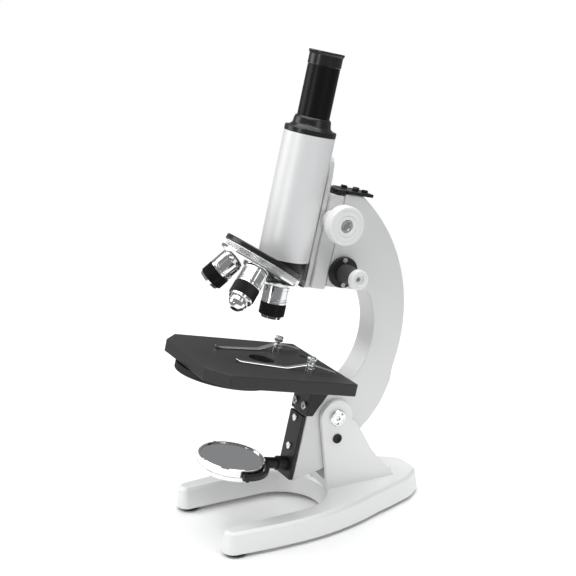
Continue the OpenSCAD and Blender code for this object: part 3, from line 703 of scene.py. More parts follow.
@dataclass(frozen=True)
class Finish:
    """How a surface looks.

    Attributes:
        tone: the main colour.
        other: the colour it is mottled with.
        rough: the least and the greatest roughness.
        metallic: 0 for paint and plastic, 1 for bare metal.
        coat: how much clear coat lies on top.
        grain: how strong the fine bumps are.
        scale: how fine the mottling and the bumps are.
        edge: the colour of worn edges, if they show any wear.
        clear: how much light goes through.
        gloss: how strong the reflections of a bare surface are.
    """

    tone: tuple[float, float, float]
    other: tuple[float, float, float]
    rough: Pair
    metallic: float = 0.0
    coat: float = 0.0
    grain: float = 0.05
    scale: float = 500.0
    edge: tuple[float, float, float] | None = None
    clear: float = 0.0
    gloss: float = 0.5

    def material(self, name: str) -> bpy.types.Material:
        """Builds the material once, and finds it again later.

        Args:
            name: the material's name.

        Returns:
            The material.
        """
        made = bpy.data.materials.get(name)
        if made:
            return made
        made = bpy.data.materials.new(name)
        made.use_nodes = True
        tree = made.node_tree
        shader = next(n for n in tree.nodes if n.type == "BSDF_PRINCIPLED")
        where = tree.nodes.new("ShaderNodeTexCoord").outputs["Object"]
        shader.inputs["Metallic"].default_value = self.metallic
        shader.inputs["Coat Weight"].default_value = self.coat
        shader.inputs["Coat Roughness"].default_value = 0.04
        shader.inputs["Specular IOR Level"].default_value = self.gloss
        if self.clear > 0.0:
            shader.inputs["Transmission Weight"].default_value = self.clear
            shader.inputs["IOR"].default_value = 1.5
        mask = self._group(
            tree, Effects.mottle(), where, Slow=self.scale * 0.06, Fine=self.scale
        ).outputs["Mask"]
        colour = self._blend(tree, mask, self.tone, self.other)
        if self.edge:
            worn = self._group(tree, Effects.wear(), where, Scale=self.scale * 0.5).outputs["Mask"]
            colour = self._blend(tree, worn, colour, self.edge)
        tree.links.new(colour, shader.inputs["Base Color"])
        rough = tree.nodes.new("ShaderNodeMapRange")
        rough.inputs["To Min"].default_value, rough.inputs["To Max"].default_value = self.rough
        tree.links.new(mask, rough.inputs["Value"])
        tree.links.new(rough.outputs["Result"], shader.inputs["Roughness"])
        bumps = self._group(tree, Effects.grain(), where, Scale=self.scale * 1.6, Height=self.grain)
        tree.links.new(bumps.outputs["Normal"], shader.inputs["Normal"])
        return made

    @staticmethod
    def _group(tree: Tree, group: Tree, where: Socket, **numbers: float) -> bpy.types.Node:
        """Adds a shared effect to a material.

        Args:
            tree: the material's nodes.
            group: the effect.
            where: the place on the surface that it reads.
            numbers: the effect's settings by name.

        Returns:
            The effect's node in the material.
        """
        node = tree.nodes.new("ShaderNodeGroup")
        node.node_tree = group
        tree.links.new(where, node.inputs["Vector"])
        for label, value in numbers.items():
            node.inputs[label].default_value = value
        return node

    @staticmethod
    def _blend(tree: Tree, mask: Socket, first: Socket | tuple, second: tuple[float, float, float]) -> Socket:
        """Mixes two colours by a mask.

        Args:
            tree: the material's nodes.
            mask: how much of the second colour shows.
            first: a colour, or a socket that gives one.
            second: the other colour.

        Returns:
            The socket of the mixed colour.
        """
        mix = tree.nodes.new("ShaderNodeMixRGB")
        tree.links.new(mask, mix.inputs["Fac"])
        if isinstance(first, tuple):
            mix.inputs["Color1"].default_value = (*first, 1.0)
        else:
            tree.links.new(first, mix.inputs["Color1"])
        mix.inputs["Color2"].default_value = (*second, 1.0)
        return mix.outputs["Color"]


class Look(Enum):
    """Every finish on the microscope, named after its material slot."""

    WHITE_ENAMEL = Finish(
        (0.72, 0.72, 0.73), (0.68, 0.68, 0.69), (0.26, 0.36), coat=0.3, grain=0.05, scale=420.0
    )
    GREY_ENAMEL = Finish(
        (0.66, 0.66, 0.67), (0.54, 0.54, 0.56), (0.34, 0.46), coat=0.2, grain=0.14, scale=700.0
    )
    TUBE_ENAMEL = Finish(
        (0.72, 0.72, 0.73), (0.69, 0.69, 0.70), (0.12, 0.2), coat=0.6, grain=0.02, scale=300.0
    )
    WHITE_KNOB = Finish(
        (0.64, 0.64, 0.65), (0.54, 0.54, 0.55), (0.2, 0.3), metallic=0.6, coat=0.3, grain=0.03, scale=500.0
    )
    BLACK_PAINT = Finish(
        (0.012, 0.012, 0.013), (0.02, 0.02, 0.022), (0.28, 0.4), coat=0.06, grain=0.08, scale=600.0,
        edge=(0.05, 0.05, 0.05), gloss=0.2,
    )
    STAGE_BLACK = Finish(
        (0.007, 0.007, 0.008), (0.014, 0.014, 0.015), (0.34, 0.46), grain=0.1, scale=800.0,
        edge=(0.10, 0.10, 0.10), gloss=0.22,
    )
    GLOSS_BLACK = Finish(
        (0.006, 0.006, 0.007), (0.010, 0.010, 0.011), (0.1, 0.18), coat=0.15, grain=0.015, scale=300.0,
        gloss=0.3,
    )
    SATIN_BLACK = Finish(
        (0.008, 0.008, 0.009), (0.014, 0.014, 0.015), (0.26, 0.36), grain=0.06, scale=900.0, gloss=0.3
    )
    DARK_KNOB = Finish(
        (0.02, 0.02, 0.022), (0.035, 0.035, 0.037), (0.36, 0.48), grain=0.08, scale=900.0, gloss=0.3
    )
    CHROME = Finish(
        (0.62, 0.62, 0.63), (0.48, 0.48, 0.50), (0.14, 0.26), metallic=1.0, grain=0.01, scale=350.0
    )
    BLACK_STEEL = Finish(
        (0.02, 0.02, 0.021), (0.04, 0.04, 0.042), (0.3, 0.42), metallic=0.6, grain=0.05, scale=900.0
    )
    STEEL = Finish((0.56, 0.56, 0.57), (0.44, 0.44, 0.46), (0.26, 0.4), metallic=1.0, grain=0.05, scale=700.0)
    BRASS = Finish((0.72, 0.52, 0.24), (0.60, 0.42, 0.18), (0.24, 0.4), metallic=1.0, grain=0.04, scale=600.0)
    GLASS = Finish((0.93, 0.96, 1.0), (0.88, 0.92, 0.99), (0.01, 0.03), grain=0.0, scale=100.0, clear=1.0)
    MIRROR_GLASS = Finish(
        (0.74, 0.75, 0.76), (0.68, 0.69, 0.70), (0.12, 0.24), metallic=0.8, grain=0.0, scale=120.0
    )
    RUBBER = Finish((0.014, 0.014, 0.014), (0.028, 0.028, 0.028), (0.62, 0.8), grain=0.15, scale=900.0)

    @property
    def slot(self) -> str:
        """The material slot's name."""
        return self.name.lower()

    def material(self) -> bpy.types.Material:
        """The finish's material."""
        return self.value.material(self.slot)


# ---------- Pieces ----------


@dataclass
class SubAssembly:
    """A group of pieces that mostly ride on one body.

    Attributes:
        body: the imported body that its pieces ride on, unless they name another.
    """

    body: str

    def piece(
        self, name: str, blank: Blank, place: Matrix, look: Look, nodes: Sequence[str] = (),
        body: str | None = None, sharp: float = 34.0,
    ) -> bpy.types.Object:
        """Makes a finished piece of a blank.

        Args:
            name: the piece's name.
            blank: its mesh.
            place: the frame it is drawn in.
            look: its finish.
            nodes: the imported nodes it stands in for.
            body: the body it rides on, if not the group's own.
            sharp: edges bent by more than this many degrees stay crisp.

        Returns:
            The piece.
        """
        item = blank.raw_object(name, place)
        item.data.shade_smooth()
        item.data.set_sharp_from_angle(angle=math.radians(sharp))
        even = item.modifiers.new("even", "WEIGHTED_NORMAL")
        even.keep_sharp = True
        item.data.materials.append(look.material())
        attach(item, body or self.body)
        if nodes:
            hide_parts(*nodes)
        look.slot
        LOG.info("%s made, %d faces", name, len(item.data.polygons))
        return item


@dataclass
class Base(SubAssembly):
    """The horseshoe casting, its feet and the two ears that carry the hinge.

    Attributes:
        body: the body it rides on.
        floor_gap: the casting's height above the table.
        top: the casting's top.
        half_w: half the casting's greatest width.
        toe: the right toe's middle, X and Y, and its radius.
        gap: the Y of the inner curve's middle, and the curve's radius.
        widest: the Y where the casting is widest.
        flanks: radius of each outer curve, and the Y stations drawn along it.
        ear_in: X of the ears' inner faces.
        ear_out: X of the ears' outer faces.
        stop_drop: how far the stop screws lie below the hinge.
    """

    body: str = "stand"
    floor_gap: float = 3.0
    top: float = 21.0
    half_w: float = 57.0
    toe: tuple[float, float, float] = (44.75, -107.0, 9.3)
    gap: tuple[float, float] = (-45.0, 35.5)
    widest: float = -55.0
    flanks: tuple[tuple[float, range], ...] = ((450.0, range(-100, -55, 9)), (200.0, range(-55, 24, 7)))
    ear_in: float = 12.1
    ear_out: float = 16.2
    stop_drop: float = 18.3

    def outline(self) -> list[Pair]:
        """Works out the casting's outline.

        Returns:
            The outline, anticlockwise.
        """
        x, y, r = self.toe
        right = arc((x, y), r, 196.0, 358.0, 14)
        for bulge, stations in self.flanks:
            for station in stations:
                away = station - self.widest
                right.append((self.half_w - bulge + math.sqrt(bulge ** 2 - away ** 2), float(station)))
        right += softened(
            [(42.3, 20.0), (35.5, 41.0), (26.5, 66.0), (13.0, 82.0), (0.0, 82.0)], [0, 60, 30, 14, 0], 7
        )[1:]
        inner = arc((0.0, self.gap[0]), self.gap[1], 90.0, 0.0, 24)[1:]
        inner += [(self.gap[1] + 0.3, -80.0)]
        left = [(-px, py) for px, py in reversed(right[:-1])]
        left_inner = [(-px, py) for px, py in reversed(inner)]
        return right + left + left_inner + [(0.0, self.gap[0] + self.gap[1])] + inner

    def make(self) -> None:
        """Builds the casting, the ears and everything bolted to them."""
        low, high = self.floor_gap, self.top
        levels = [
            (low, 0.5), (low + 0.5, 0.0), (high - 3.0, 1.9), (high - 2.5, 2.1), (high - 0.8, 3.6),
            (high - 0.3, 4.1), (high, 5.0),
        ]
        self.piece(
            "horseshoe", Blank().slab(self.outline(), levels), TABLE, Look.WHITE_ENAMEL, ["base_casting"],
            sharp=24.0,
        )
        foot = [(4.2, 0.0), (6.6, 0.0), (7.2, 0.3), (9.0, 1.4), (9.0, 3.05), (4.2, 3.05)]
        feet = Blank()
        for x, y in ((-45.0, -105.0), (45.0, -105.0), (0.0, 62.0)):
            feet.join(Blank().lathe(foot, 64), shift(x, y, 0.0))
        self.piece("feet", feet, TABLE, Look.RUBBER, ["rubber_feet"])
        ear = softened(
            [(-8.3, 20.0), (56.0, 20.0), (44.0, 33.5), (33.0, 48.0), (23.5, 66.0), (17.0, 77.0)],
            [0, 0, 30, 40, 40, 0], 6,
        )
        ear += arc((0.0, HINGE.z), 14.5, -16.0, 184.0, 40)
        ears = Blank()
        for side in (1.0, -1.0):
            x0, x1 = sorted((side * self.ear_in, side * self.ear_out))
            plate = Blank().plate(
                ear, x0, x1, 0.7,
                [circle((0.0, HINGE.z), 4.05), circle((0.0, HINGE.z - self.stop_drop), 2.6, 32)],
            )
            ears.join(plate, SIDE_ON)
        ears.join(box_blank((-12.3, -7.6, 20.4), (12.3, 55.0, 27.0), 0.6))
        web = [(51.0, 20.6), (55.6, 20.6), (34.0, 44.0), (29.0, 44.0)]
        ears.join(Blank().slab(web, [(-12.3, 0.0), (12.3, 0.0)]), SIDE_ON)
        self.piece("ears", ears, TABLE, Look.WHITE_ENAMEL, ["pillar"])
        self._hinge()

    def _hinge(self) -> None:
        """Builds the hinge bolt, its nut and the stop screws."""
        axle = TABLE @ shift(0.0, 0.0, HINGE.z) @ ALONG_X
        out = self.ear_out
        head = [
            (0.0, -out - 5.0), (4.0, -out - 5.0), (4.0, out), (6.8, out), (6.8, out + 1.7), (6.3, out + 2.2),
            (5.3, out + 2.2), (5.15, out + 2.0), (5.0, out + 2.2), (2.0, out + 2.2), (1.6, out + 1.9),
            (1.6, out + 1.0), (0.0, out + 1.0),
        ]
        cuts = [
            box_blank((-2.4, side * 4.2 - 0.8, out + 1.2), (2.4, side * 4.2 + 0.8, out + 4.0))
            for side in (-1.0, 1.0)
        ]
        bolt = Blank().lathe(head, 72).carve(cuts)
        self.piece("hinge_bolt_look", bolt, axle @ turn_z(62.0), Look.CHROME, ["hinge_bolt"])
        nut = [(4.02, -out - 3.6), (6.2, -out - 3.6), (6.8, -out - 3.0), (6.8, -out), (4.02, -out)]
        self.piece("hinge_nut_look", Blank().lathe(nut, 72), axle, Look.CHROME, ["hinge_nut"])
        stops = Blank()
        for side in BOTH_SIDES.values():
            screw = socket_head(4.0, 1.2, 2.5, 8.7).moved(shift(0.0, 0.0, out))
            stops.join(screw, side @ ALONG_X)
        self.piece(
            "stop_screws_look", stops, TABLE @ shift(0.0, 0.0, HINGE.z - self.stop_drop), Look.BLACK_STEEL,
            ["stop_screws"],
        )


@dataclass
class Arm(SubAssembly):
    """The C-shaped arm with its black cap.

    Attributes:
        body: the body it rides on.
        half: half its thickness.
    """

    body: str = "arm"
    half: float = 11.5

    def profile(self) -> list[Pair]:
        """Works out the arm's side outline.

        Returns:
            The outline in Y and Z, anticlockwise.
        """
        outer = softened(
            [
                (-25.5, -57.0), (0.5, -46.0), (18.0, -21.0), (28.8, -8.6), (34.5, -0.5), (41.4, 12.9),
                (46.0, 33.0),
            ],
            [0, 12, 40, 40, 40, 40, 0], 4,
        )
        back = arc((-87.2, 65.0), 134.0, -8.5, 59.1, 48)
        inner = arc((-43.6, 66.0), 62.4, 39.3, -35.2, 40)
        return outer + back + [(-34.5, 180.0), (-34.5, 105.5)] + inner + [(-25.5, 30.0)]

    def make(self) -> None:
        """Builds the casting with its slots, and the cap."""
        casting = Blank().plate(self.profile(), -self.half, self.half, 1.1, steps=3).moved(SIDE_ON)
        cuts = [
            box_blank((-4.15, -36.0, 108.5), (4.15, -30.5, 183.0)),
            box_blank((-6.15, -31.0, 108.5), (6.15, -25.0, 183.0)),
            box_blank((-6.15, -26.0, 112.6), (6.15, -17.0, 124.6)),
            rod(1.6, 106.4, 110.0, 24).moved(LEAD_SCREW),
            rod(5.0, -12.5, 12.5).moved(FINE_SHAFT @ ALONG_X),
            rod(4.15, -12.5, 12.5).moved(ALONG_X),
        ]
        for side in BOTH_SIDES.values():
            groove = arc((0.0, 0.0), 21.2, -98.8, -36.2, 24) + arc((0.0, 0.0), 15.4, -36.2, -98.8, 24)
            cuts.append(Blank().slab(groove, [(6.5, 0.0), (12.5, 0.0)]).moved(side @ SIDE_ON))
        self.piece("arm_look", casting.carve(cuts), ARM, Look.GREY_ENAMEL, ["arm_casting"], sharp=26.0)
        self.piece(
            "cap_look", box_blank((-12.8, -33.6, 180.0), (12.8, -10.2, 182.6), 0.5), ARM, Look.GLOSS_BLACK,
            ["top_cap"],
        )
        block = box_blank((-11.5, -42.3, 179.0), (11.5, -33.7, 182.3), 0.5)
        self.piece("cap_block_look", block, ARM, Look.GLOSS_BLACK, ["cap_block"])
        screws = Blank()
        for x, y in ((-8.0, -26.0), (-5.0, -16.5), (3.0, -22.0), (6.0, -15.0)):
            screws.join(socket_head(2.6, 1.8, 1.6, 2.2), shift(x, y, 182.6))
        for side in BOTH_SIDES.values():
            screws.join(slotted_head(1.3, 0.5, 0.8, 3.0), side @ shift(11.5, -36.3, 180.6) @ ALONG_X)
        self.piece("cap_screws_look", screws, ARM, Look.BLACK_STEEL, ["cap_screws"])


@dataclass
class Stage(SubAssembly):
    """The stage plate with its bracket, clips and disc diaphragm.

    Attributes:
        body: the body most of it rides on.
        half_w: half the plate's width.
        front: Y of its front edge.
        rear: Y of its rear edge.
        low: its underside.
        top: its top.
        post: X and Y of the right clip's post.
        rear_screw: X and Y of the right one of the screws that hold the plate.
        disc_y: Y of the disc's middle.
    """

    body: str = "arm"
    half_w: float = 54.5
    front: float = -138.0
    rear: float = -13.0
    low: float = 30.0
    top: float = 40.0
    post: Pair = (28.0, -43.0)
    rear_screw: Pair = (15.5, -24.0)
    disc_y: float = -102.0

    def make(self) -> None:
        """Builds everything at the level of the stage."""
        w = self.half_w
        corners = [(w - 17.7, self.front), (w, self.front + 14.5), (w, self.rear), (-w, self.rear),
                   (-w, self.front + 14.5), (17.7 - w, self.front)]
        outline = softened(corners, 1.2, 3, closed=True)
        holes = [circle((0.0, TUBE_Y), 10.2, 72)] + [
            circle((side * self.post[0], self.post[1]), 2.45, 24)
            for side in (-1, 1)
        ]
        holes += [circle((side * self.rear_screw[0], self.rear_screw[1]), 3.45, 32) for side in (-1, 1)]
        plate = Blank().plate(outline, self.low, self.top, 0.7, holes, steps=3)
        self.piece("stage_look", plate, ARM, Look.STAGE_BLACK, ["stage_plate"])
        screws = Blank()
        for side in (-1, 1):
            screws.join(
                slotted_head(3.3, 1.9, 1.8, 6.0), shift(side * self.rear_screw[0], self.rear_screw[1], 37.8)
            )
        self.piece("stage_screws_look", screws, ARM, Look.BLACK_STEEL, ["stage_screws"])
        side = softened(
            [(-27.4, -1.6), (-21.0, -1.4), (-18.3, 4.3), (-4.0, 30.0), (-27.4, 30.0)], 1.0, 3, closed=True
        )
        cheek = Blank().plate(side, -13.0, 13.0, 0.7, steps=3).moved(SIDE_ON)
        cheek.carve([box_blank((-11.6, -25.6, -5.0), (11.6, 20.0, 34.0))])
        cheek.join(box_blank((-20.0, -32.0, 26.0), (20.0, -25.6, 30.0), 0.5))
        self.piece("bracket_look", cheek, ARM, Look.BLACK_PAINT, ["stage_bracket"])
        heads = Blank()
        for sign in (-1, 1):
            heads.join(socket_head(3.3, 1.6, 1.6, 6.0), shift(sign * 7.4, -27.4, 5.8) @ TO_FRONT)
        self.piece("bracket_screws_look", heads, ARM, Look.CHROME, ["bracket_screws"])
        self._clips()
        self._diaphragm()

    def _clips(self) -> None:
        """Builds the posts and the two spring clips."""
        posts = Blank()
        knurl = Ribs(28, 0.22, 48.4, 51.4, 3.6)
        for side in (-1, 1):
            place = shift(side * self.post[0], self.post[1], 0.0)
            posts.join(
                Blank().lathe(
                    [
                        (0.0, 32.0), (2.4, 32.0), (2.4, 40.05), (4.0, 40.05), (4.0, 43.0), (3.7, 43.3),
                        (2.4, 43.3), (2.4, 49.0), (0.0, 49.0),
                    ],
                    48,
                ),
                place,
            )
            head = Blank().lathe(
                [(0.0, 48.0), (3.2, 48.0), (3.6, 48.4), (3.6, 50.0), (3.6, 51.4), (3.1, 52.0), (0.0, 52.0)],
                ribs=knurl,
            )
            posts.join(head.carve([box_blank((-4.5, -0.5, 50.6), (4.5, 0.5, 53.0))]), place @ turn_z(20.0))
        self.piece("posts_look", posts, ARM, Look.CHROME, ["clip_posts"])
        path = [
            (-3.4, 44.75, 2.6), (-6.0, 44.1, 2.6), (-12.0, 42.3, 2.6), (-17.0, 40.75, 2.6),
            (-20.0, 40.2, 2.6), (-30.0, 40.15, 2.55), (-45.0, 40.15, 2.4), (-55.0, 40.15, 2.2),
            (-57.5, 40.5, 2.0), (-59.5, 41.3, 1.7), (-60.0, 41.7, 1.3),
        ]
        tail = [(3.4, 44.8, 2.2), (8.0, 44.2, 2.2), (15.0, 42.9, 2.1), (20.0, 42.1, 1.9), (21.0, 42.0, 1.4)]
        eye = [(2.5, 44.8), (4.2, 44.8), (4.4, 45.0), (4.4, 45.8), (4.2, 46.0), (2.5, 46.0)]
        for name, side, swing in (("right", 1, -14.0), ("left", -1, 7.0)):
            strip = Blank().lathe(eye, 48).join(ribbon(list(reversed(path)), 0.8)).join(ribbon(tail, 0.8))
            place = ARM @ shift(side * self.post[0], self.post[1], 0.0) @ turn_z(swing)
            self.piece(f"clip_{name}_look", strip, place, Look.CHROME, [f"clip_{name}"], body=f"{name}_clip")

    def _diaphragm(self) -> None:
        """Builds the disc with its five apertures."""
        reach = self.disc_y - TUBE_Y
        holes = [circle((0.0, 0.0), 2.15, 24)]
        for i, radius in enumerate((6.2, 5.0, 4.0, 2.5, 1.5)):
            angle = math.radians(72.0 * i)
            holes.append(circle((reach * math.sin(angle), -reach * math.cos(angle)), radius, 36))
        disc = Blank().plate(circle((0.0, 0.0), 37.4, 128), 24.2, 26.2, 0.3, holes, steps=2)
        rim = [(36.6, 24.6), (38.1, 24.2), (38.5, 24.6), (38.5, 29.0), (38.2, 29.4), (36.6, 29.4)]
        disc.join(Blank().lathe(rim, ribs=Ribs(150, 0.3, 24.6, 29.0, 38.5)))
        self.piece(
            "diaphragm_look", disc, ARM @ shift(0.0, self.disc_y, 0.0), Look.BLACK_PAINT, ["diaphragm_disc"],
            body="diaphragm",
        )


@dataclass
class MirrorUnit(SubAssembly):
    """The mirror, its fork and the bar that carries it.

    Attributes:
        body: the body the fork rides on.
        drop: how far the mirror's middle lies below the hinge.
        ahead: how far it lies in front of the tube's axis.
        swivel: the fork's turn about its stem, in degrees.
        tilt: the mirror's turn in the fork, in degrees.
    """

    body: str = "mirror_arm"
    drop: float = 46.5
    ahead: float = 8.0
    swivel: float = 4.5
    tilt: float = 3.9

    def make(self) -> None:
        """Builds the bar, the fork and the mirror."""
        bar = box_blank((-10.8, -28.9, -57.0), (10.8, -25.55, -2.5), 0.7)
        collar = [(3.1, -0.8), (6.0, -0.8), (6.0, 8.4), (5.4, 9.0), (3.1, 9.0)]
        bar.join(Blank().lathe(collar, 64), shift(0.0, -28.9, -self.drop) @ TO_FRONT)
        self.piece("mirror_bar_look", bar, ARM, Look.BLACK_PAINT, ["mirror_bar"], body="arm")
        heads = Blank()
        for z in (-7.0, -31.0):
            heads.join(slotted_head(3.0, 1.4, 1.6, 3.0), shift(0.0, -28.9, z) @ TO_FRONT @ turn_z(35.0))
        self.piece("bar_screws_look", heads, ARM, Look.CHROME, ["bar_screws"], body="arm")
        place = ARM @ shift(0.0, TUBE_Y - self.ahead, -self.drop) @ turn_y(self.swivel)
        fork = bent_bar(29.85, -5.0, 185.0, 1.65, 2.5, 64)
        back = -28.9 - TUBE_Y + self.ahead
        stem = [
            (0.0, -back), (3.0, -back), (3.0, -back + 9.3), (4.6, -back + 9.4), (4.6, -30.4), (0.0, -30.4)
        ]
        fork.join(Blank().lathe(stem, 48), TO_FRONT)
        fork.carve([rod(1.5, -50.0, 50.0, 32).moved(ALONG_X)])
        self.piece("fork_look", fork, place, Look.BLACK_PAINT, ["mirror_fork"])
        turned = place @ turn_x(self.tilt)
        rim = [
            (24.9, -2.3), (25.0, -5.25), (26.4, -5.25), (27.0, -4.7), (27.0, -1.6), (26.4, -1.4),
            (26.4, -0.9), (27.0, -0.7), (27.0, 4.7), (26.4, 5.25), (25.2, 5.25), (24.9, 4.9), (24.9, 2.3),
        ]
        cell = Blank().lathe(rim, 128)
        cell.join(rod(25.0, -2.25, 2.25, 96))
        pins = Blank()
        for side in BOTH_SIDES.values():
            cell.join(rod(1.44, 26.0, 32.0, 32), side @ ALONG_X)
            pins.join(slotted_head(2.6, 1.2, 1.4, 0.5), side @ shift(31.9, 0.0, 0.0) @ ALONG_X @ turn_z(40.0))
        self.piece("mirror_cell_look", cell, turned, Look.CHROME, ["mirror_cell"], body="mirror")
        self.piece("mirror_pins_look", pins, turned, Look.BLACK_PAINT, body="mirror")
        dish = [(0.0, -2.6)] + [
            (24.8 * i / 8.0, -2.65 - 2.0 * (i / 8.0) ** 2)
            for i in range(1, 9)
        ] + [(24.8, -2.28), (0.0, -2.28)]
        glass = Blank().lathe(
            [(0.0, 2.28), (24.8, 2.28), (24.8, 4.1), (24.5, 4.25), (0.0, 4.25)], 96
        ).join(Blank().lathe(dish, 96))
        self.piece("mirror_glass_look", glass, turned, Look.MIRROR_GLASS, ["mirror_glasses"], body="mirror")


@dataclass
class Focus(SubAssembly):
    """The coarse and fine focus knobs and the block they move.

    Attributes:
        body: the body the fine knobs ride on.
        face: X of the right coarse knob's outer face.
    """

    body: str = "fine_drive"
    face: float = 38.0

    def make(self) -> None:
        """Builds both drives."""
        self._fine()
        self._coarse()
        self._block()

    def _fine(self) -> None:
        """Builds the small knobs on their black flanges."""
        place = ARM @ FINE_SHAFT
        flanges, screws, caps = Blank(), Blank(), Blank()
        for name, side in BOTH_SIDES.items():
            knob = Blank().lathe(
                [(2.05, 14.9), (6.8, 14.9), (7.4, 15.5), (7.4, 33.4), (7.1, 34.0), (2.05, 34.0)], 72
            )
            self.piece(
                f"fine_{name}_look", knob, place @ side @ ALONG_X, Look.DARK_KNOB, [f"fine_knob_{name}"]
            )
            caps.join(
                Blank().lathe(
                    [
                        (2.05, 34.0), (7.6, 34.0), (7.9, 34.4), (7.9, 38.4), (7.3, 39.0), (6.2, 39.0),
                        (6.0, 38.7), (5.5, 38.7), (5.3, 39.0), (4.6, 39.0), (4.4, 38.7), (4.4, 36.6),
                        (2.05, 36.6),
                    ],
                    72,
                ),
                side @ ALONG_X,
            )
            flanges.join(
                Blank().lathe(
                    [
                        (2.1, 6.2), (4.9, 6.2), (4.9, 11.5), (12.5, 11.5), (12.5, 14.0), (12.0, 14.5),
                        (8.6, 14.5), (8.4, 14.9), (2.1, 14.85),
                    ],
                    96,
                ),
                side @ ALONG_X,
            )
            for turn in (8.0, 188.0):
                spot = side @ turn_x(turn) @ shift(14.5, 0.0, 9.9) @ ALONG_X
                screws.join(slotted_head(2.0, 0.7, 1.0, 2.0), spot @ turn_z(30.0))
        self.piece("fine_caps_look", caps, place, Look.WHITE_KNOB, ["fine_knob_caps"])
        self.piece("fine_flanges_look", flanges, place, Look.BLACK_PAINT, ["fine_flanges"], body="arm")
        self.piece("flange_screws_look", screws, place, Look.STEEL, ["flange_screws"], body="arm")

    def _coarse(self) -> None:
        """Builds the big knobs."""
        place = ARM @ PINION
        f = self.face
        profile = [
            (2.55, 12.6), (7.6, 12.6), (8.0, 13.0), (8.0, f - 10.0), (8.6, f - 9.5), (14.6, f - 9.5),
            (15.3, f - 8.9), (15.3, f - 1.0), (14.9, f - 0.3), (14.3, f), (12.4, f), (12.2, f - 0.35),
            (11.8, f - 0.35), (11.6, f), (8.6, f), (8.4, f - 0.5), (7.9, f - 0.5), (7.7, f), (5.7, f),
            (5.4, f - 0.3), (5.4, f - 4.0), (2.55, f - 4.0),
        ]
        screws = Blank()
        for name, side in BOTH_SIDES.items():
            knob = Blank().lathe(profile, ribs=Ribs(90, 0.28, f - 8.9, f - 1.0, 15.3))
            self.piece(
                f"coarse_{name}_look", knob, place @ side @ ALONG_X, Look.WHITE_KNOB,
                [f"coarse_knob_{name}"], body="coarse_drive",
            )
            screws.join(
                slotted_head(4.2, 2.6, 2.4, 1.5), side @ shift(f - 4.0, 0.0, 0.0) @ ALONG_X @ turn_z(-40.0)
            )
        self.piece(
            "coarse_screws_look", screws, place, Look.CHROME, ["coarse_knob_screws"], body="coarse_drive"
        )

    def _block(self) -> None:
        """Builds the focusing block with its rails and its key."""
        block = box_blank((-11.5, -47.7, 103.0), (11.5, -35.0, 178.0), 0.7)
        block.carve([
            rod(3.85, -14.0, 14.0).moved(PINION @ ALONG_X),
            rod(5.6, -3.4, 3.4).moved(PINION @ ALONG_X),
            box_blank((-3.4, -51.0, 100.0), (3.4, -46.8, 180.0)),
        ])
        rail = [(3.4, -46.9), (5.2, -46.9), (5.2, -47.7), (6.5, -49.9), (3.4, -49.9)]
        for strip in rail_pair(rail, 103.2, 177.8):
            block.join(strip)
        key = box_blank((-4.0, -35.1, 131.0), (4.0, -30.5, 176.0)).join(
            box_blank((-6.0, -30.85, 131.0), (6.0, -25.15, 176.0))
        )
        block.join(key.carve([rod(2.1, 100.0, 144.0, 24).moved(LEAD_SCREW)]))
        self.piece("block_look", block, ARM, Look.GREY_ENAMEL, ["focusing_block"], body="carriage")


@dataclass
class Tube(SubAssembly):
    """The body tube with its slide, collar and eyepiece.

    Attributes:
        body: the body most of it rides on.
        radius: the body tube's radius.
        bottom: its lower end.
        top: its upper end.
        rim: the top of the eyepiece.
    """

    body: str = "tube"
    radius: float = 20.0
    bottom: float = 122.4
    top: float = 220.0
    rim: float = 283.0

    def make(self) -> None:
        """Builds the tube and all it carries above the nosepiece."""
        r, t, e = self.radius, self.top, self.rim
        self.piece(
            "tube_look", Blank().lathe([(18.4, self.bottom), (r, self.bottom), (r, t), (18.4, t)], 160),
            TUBE, Look.TUBE_ENAMEL, ["body_tube"],
        )
        collar = [
            (12.6, t - 6.0), (18.3, t - 6.0), (18.3, t), (19.7, t), (20.1, t + 0.4), (20.1, t + 3.9),
            (19.6, t + 4.4), (17.1, t + 4.6), (16.8, t + 5.2), (15.6, t + 5.9), (14.9, t + 7.2),
            (14.6, t + 9.0), (14.4, t + 10.8), (13.9, t + 12.2), (13.2, t + 12.9), (12.62, t + 13.0),
        ]
        self.piece("collar_look", Blank().lathe(collar, 128), TUBE, Look.GLOSS_BLACK, ["tube_collar"])
        pipe = [(11.7, t - 5.0), (12.6, t - 5.0), (12.6, e - 11.3), (12.4, e - 11.0), (11.7, e - 11.0)]
        self.piece("eyepiece_tube_look", Blank().lathe(pipe, 128), TUBE, Look.SATIN_BLACK, ["eyepiece_tube"])
        band = e - 10.8
        shell = [
            (10.6, band - 34.0), (11.6, band - 34.0), (11.6, band), (12.7, band), (13.0, band + 0.3),
            (13.0, e - 3.0), (13.2, e - 2.6), (13.7, e - 1.6), (13.9, e - 0.9), (13.8, e - 0.3), (13.5, e),
            (12.9, e), (12.4, e - 0.4), (9.4, e - 3.4), (8.3, e - 3.6), (8.3, band + 1.0),
            (10.6, band - 1.0),
        ]
        self.piece(
            "eyepiece_look", Blank().lathe(shell, 128), TUBE, Look.GLOSS_BLACK, ["eyepiece_shell"],
            body="eyepiece",
        )
        outline = [
            (-9.0, 102.5), (9.0, 102.5), (9.0, 190.0), (7.6, 198.4)
        ] + arc((0.0, 198.4), 7.6, 8.0, 172.0, 20) + [(-7.6, 198.4), (-9.0, 190.0)]
        slide = Blank().plate(outline, 48.0, 51.9, 0.4, steps=2).moved(TO_FRONT)
        cuts = [box_blank((-3.4, -50.05, 100.0), (3.4, -40.0, 201.2))]
        groove = [(3.2, -46.0), (5.35, -46.0), (5.35, -47.8), (6.75, -50.05), (3.2, -50.05)]
        cuts += rail_pair(groove, 100.0, 201.2)
        self.piece("slide_look", slide.carve(cuts), ARM, Look.GREY_ENAMEL, ["tube_slide"])


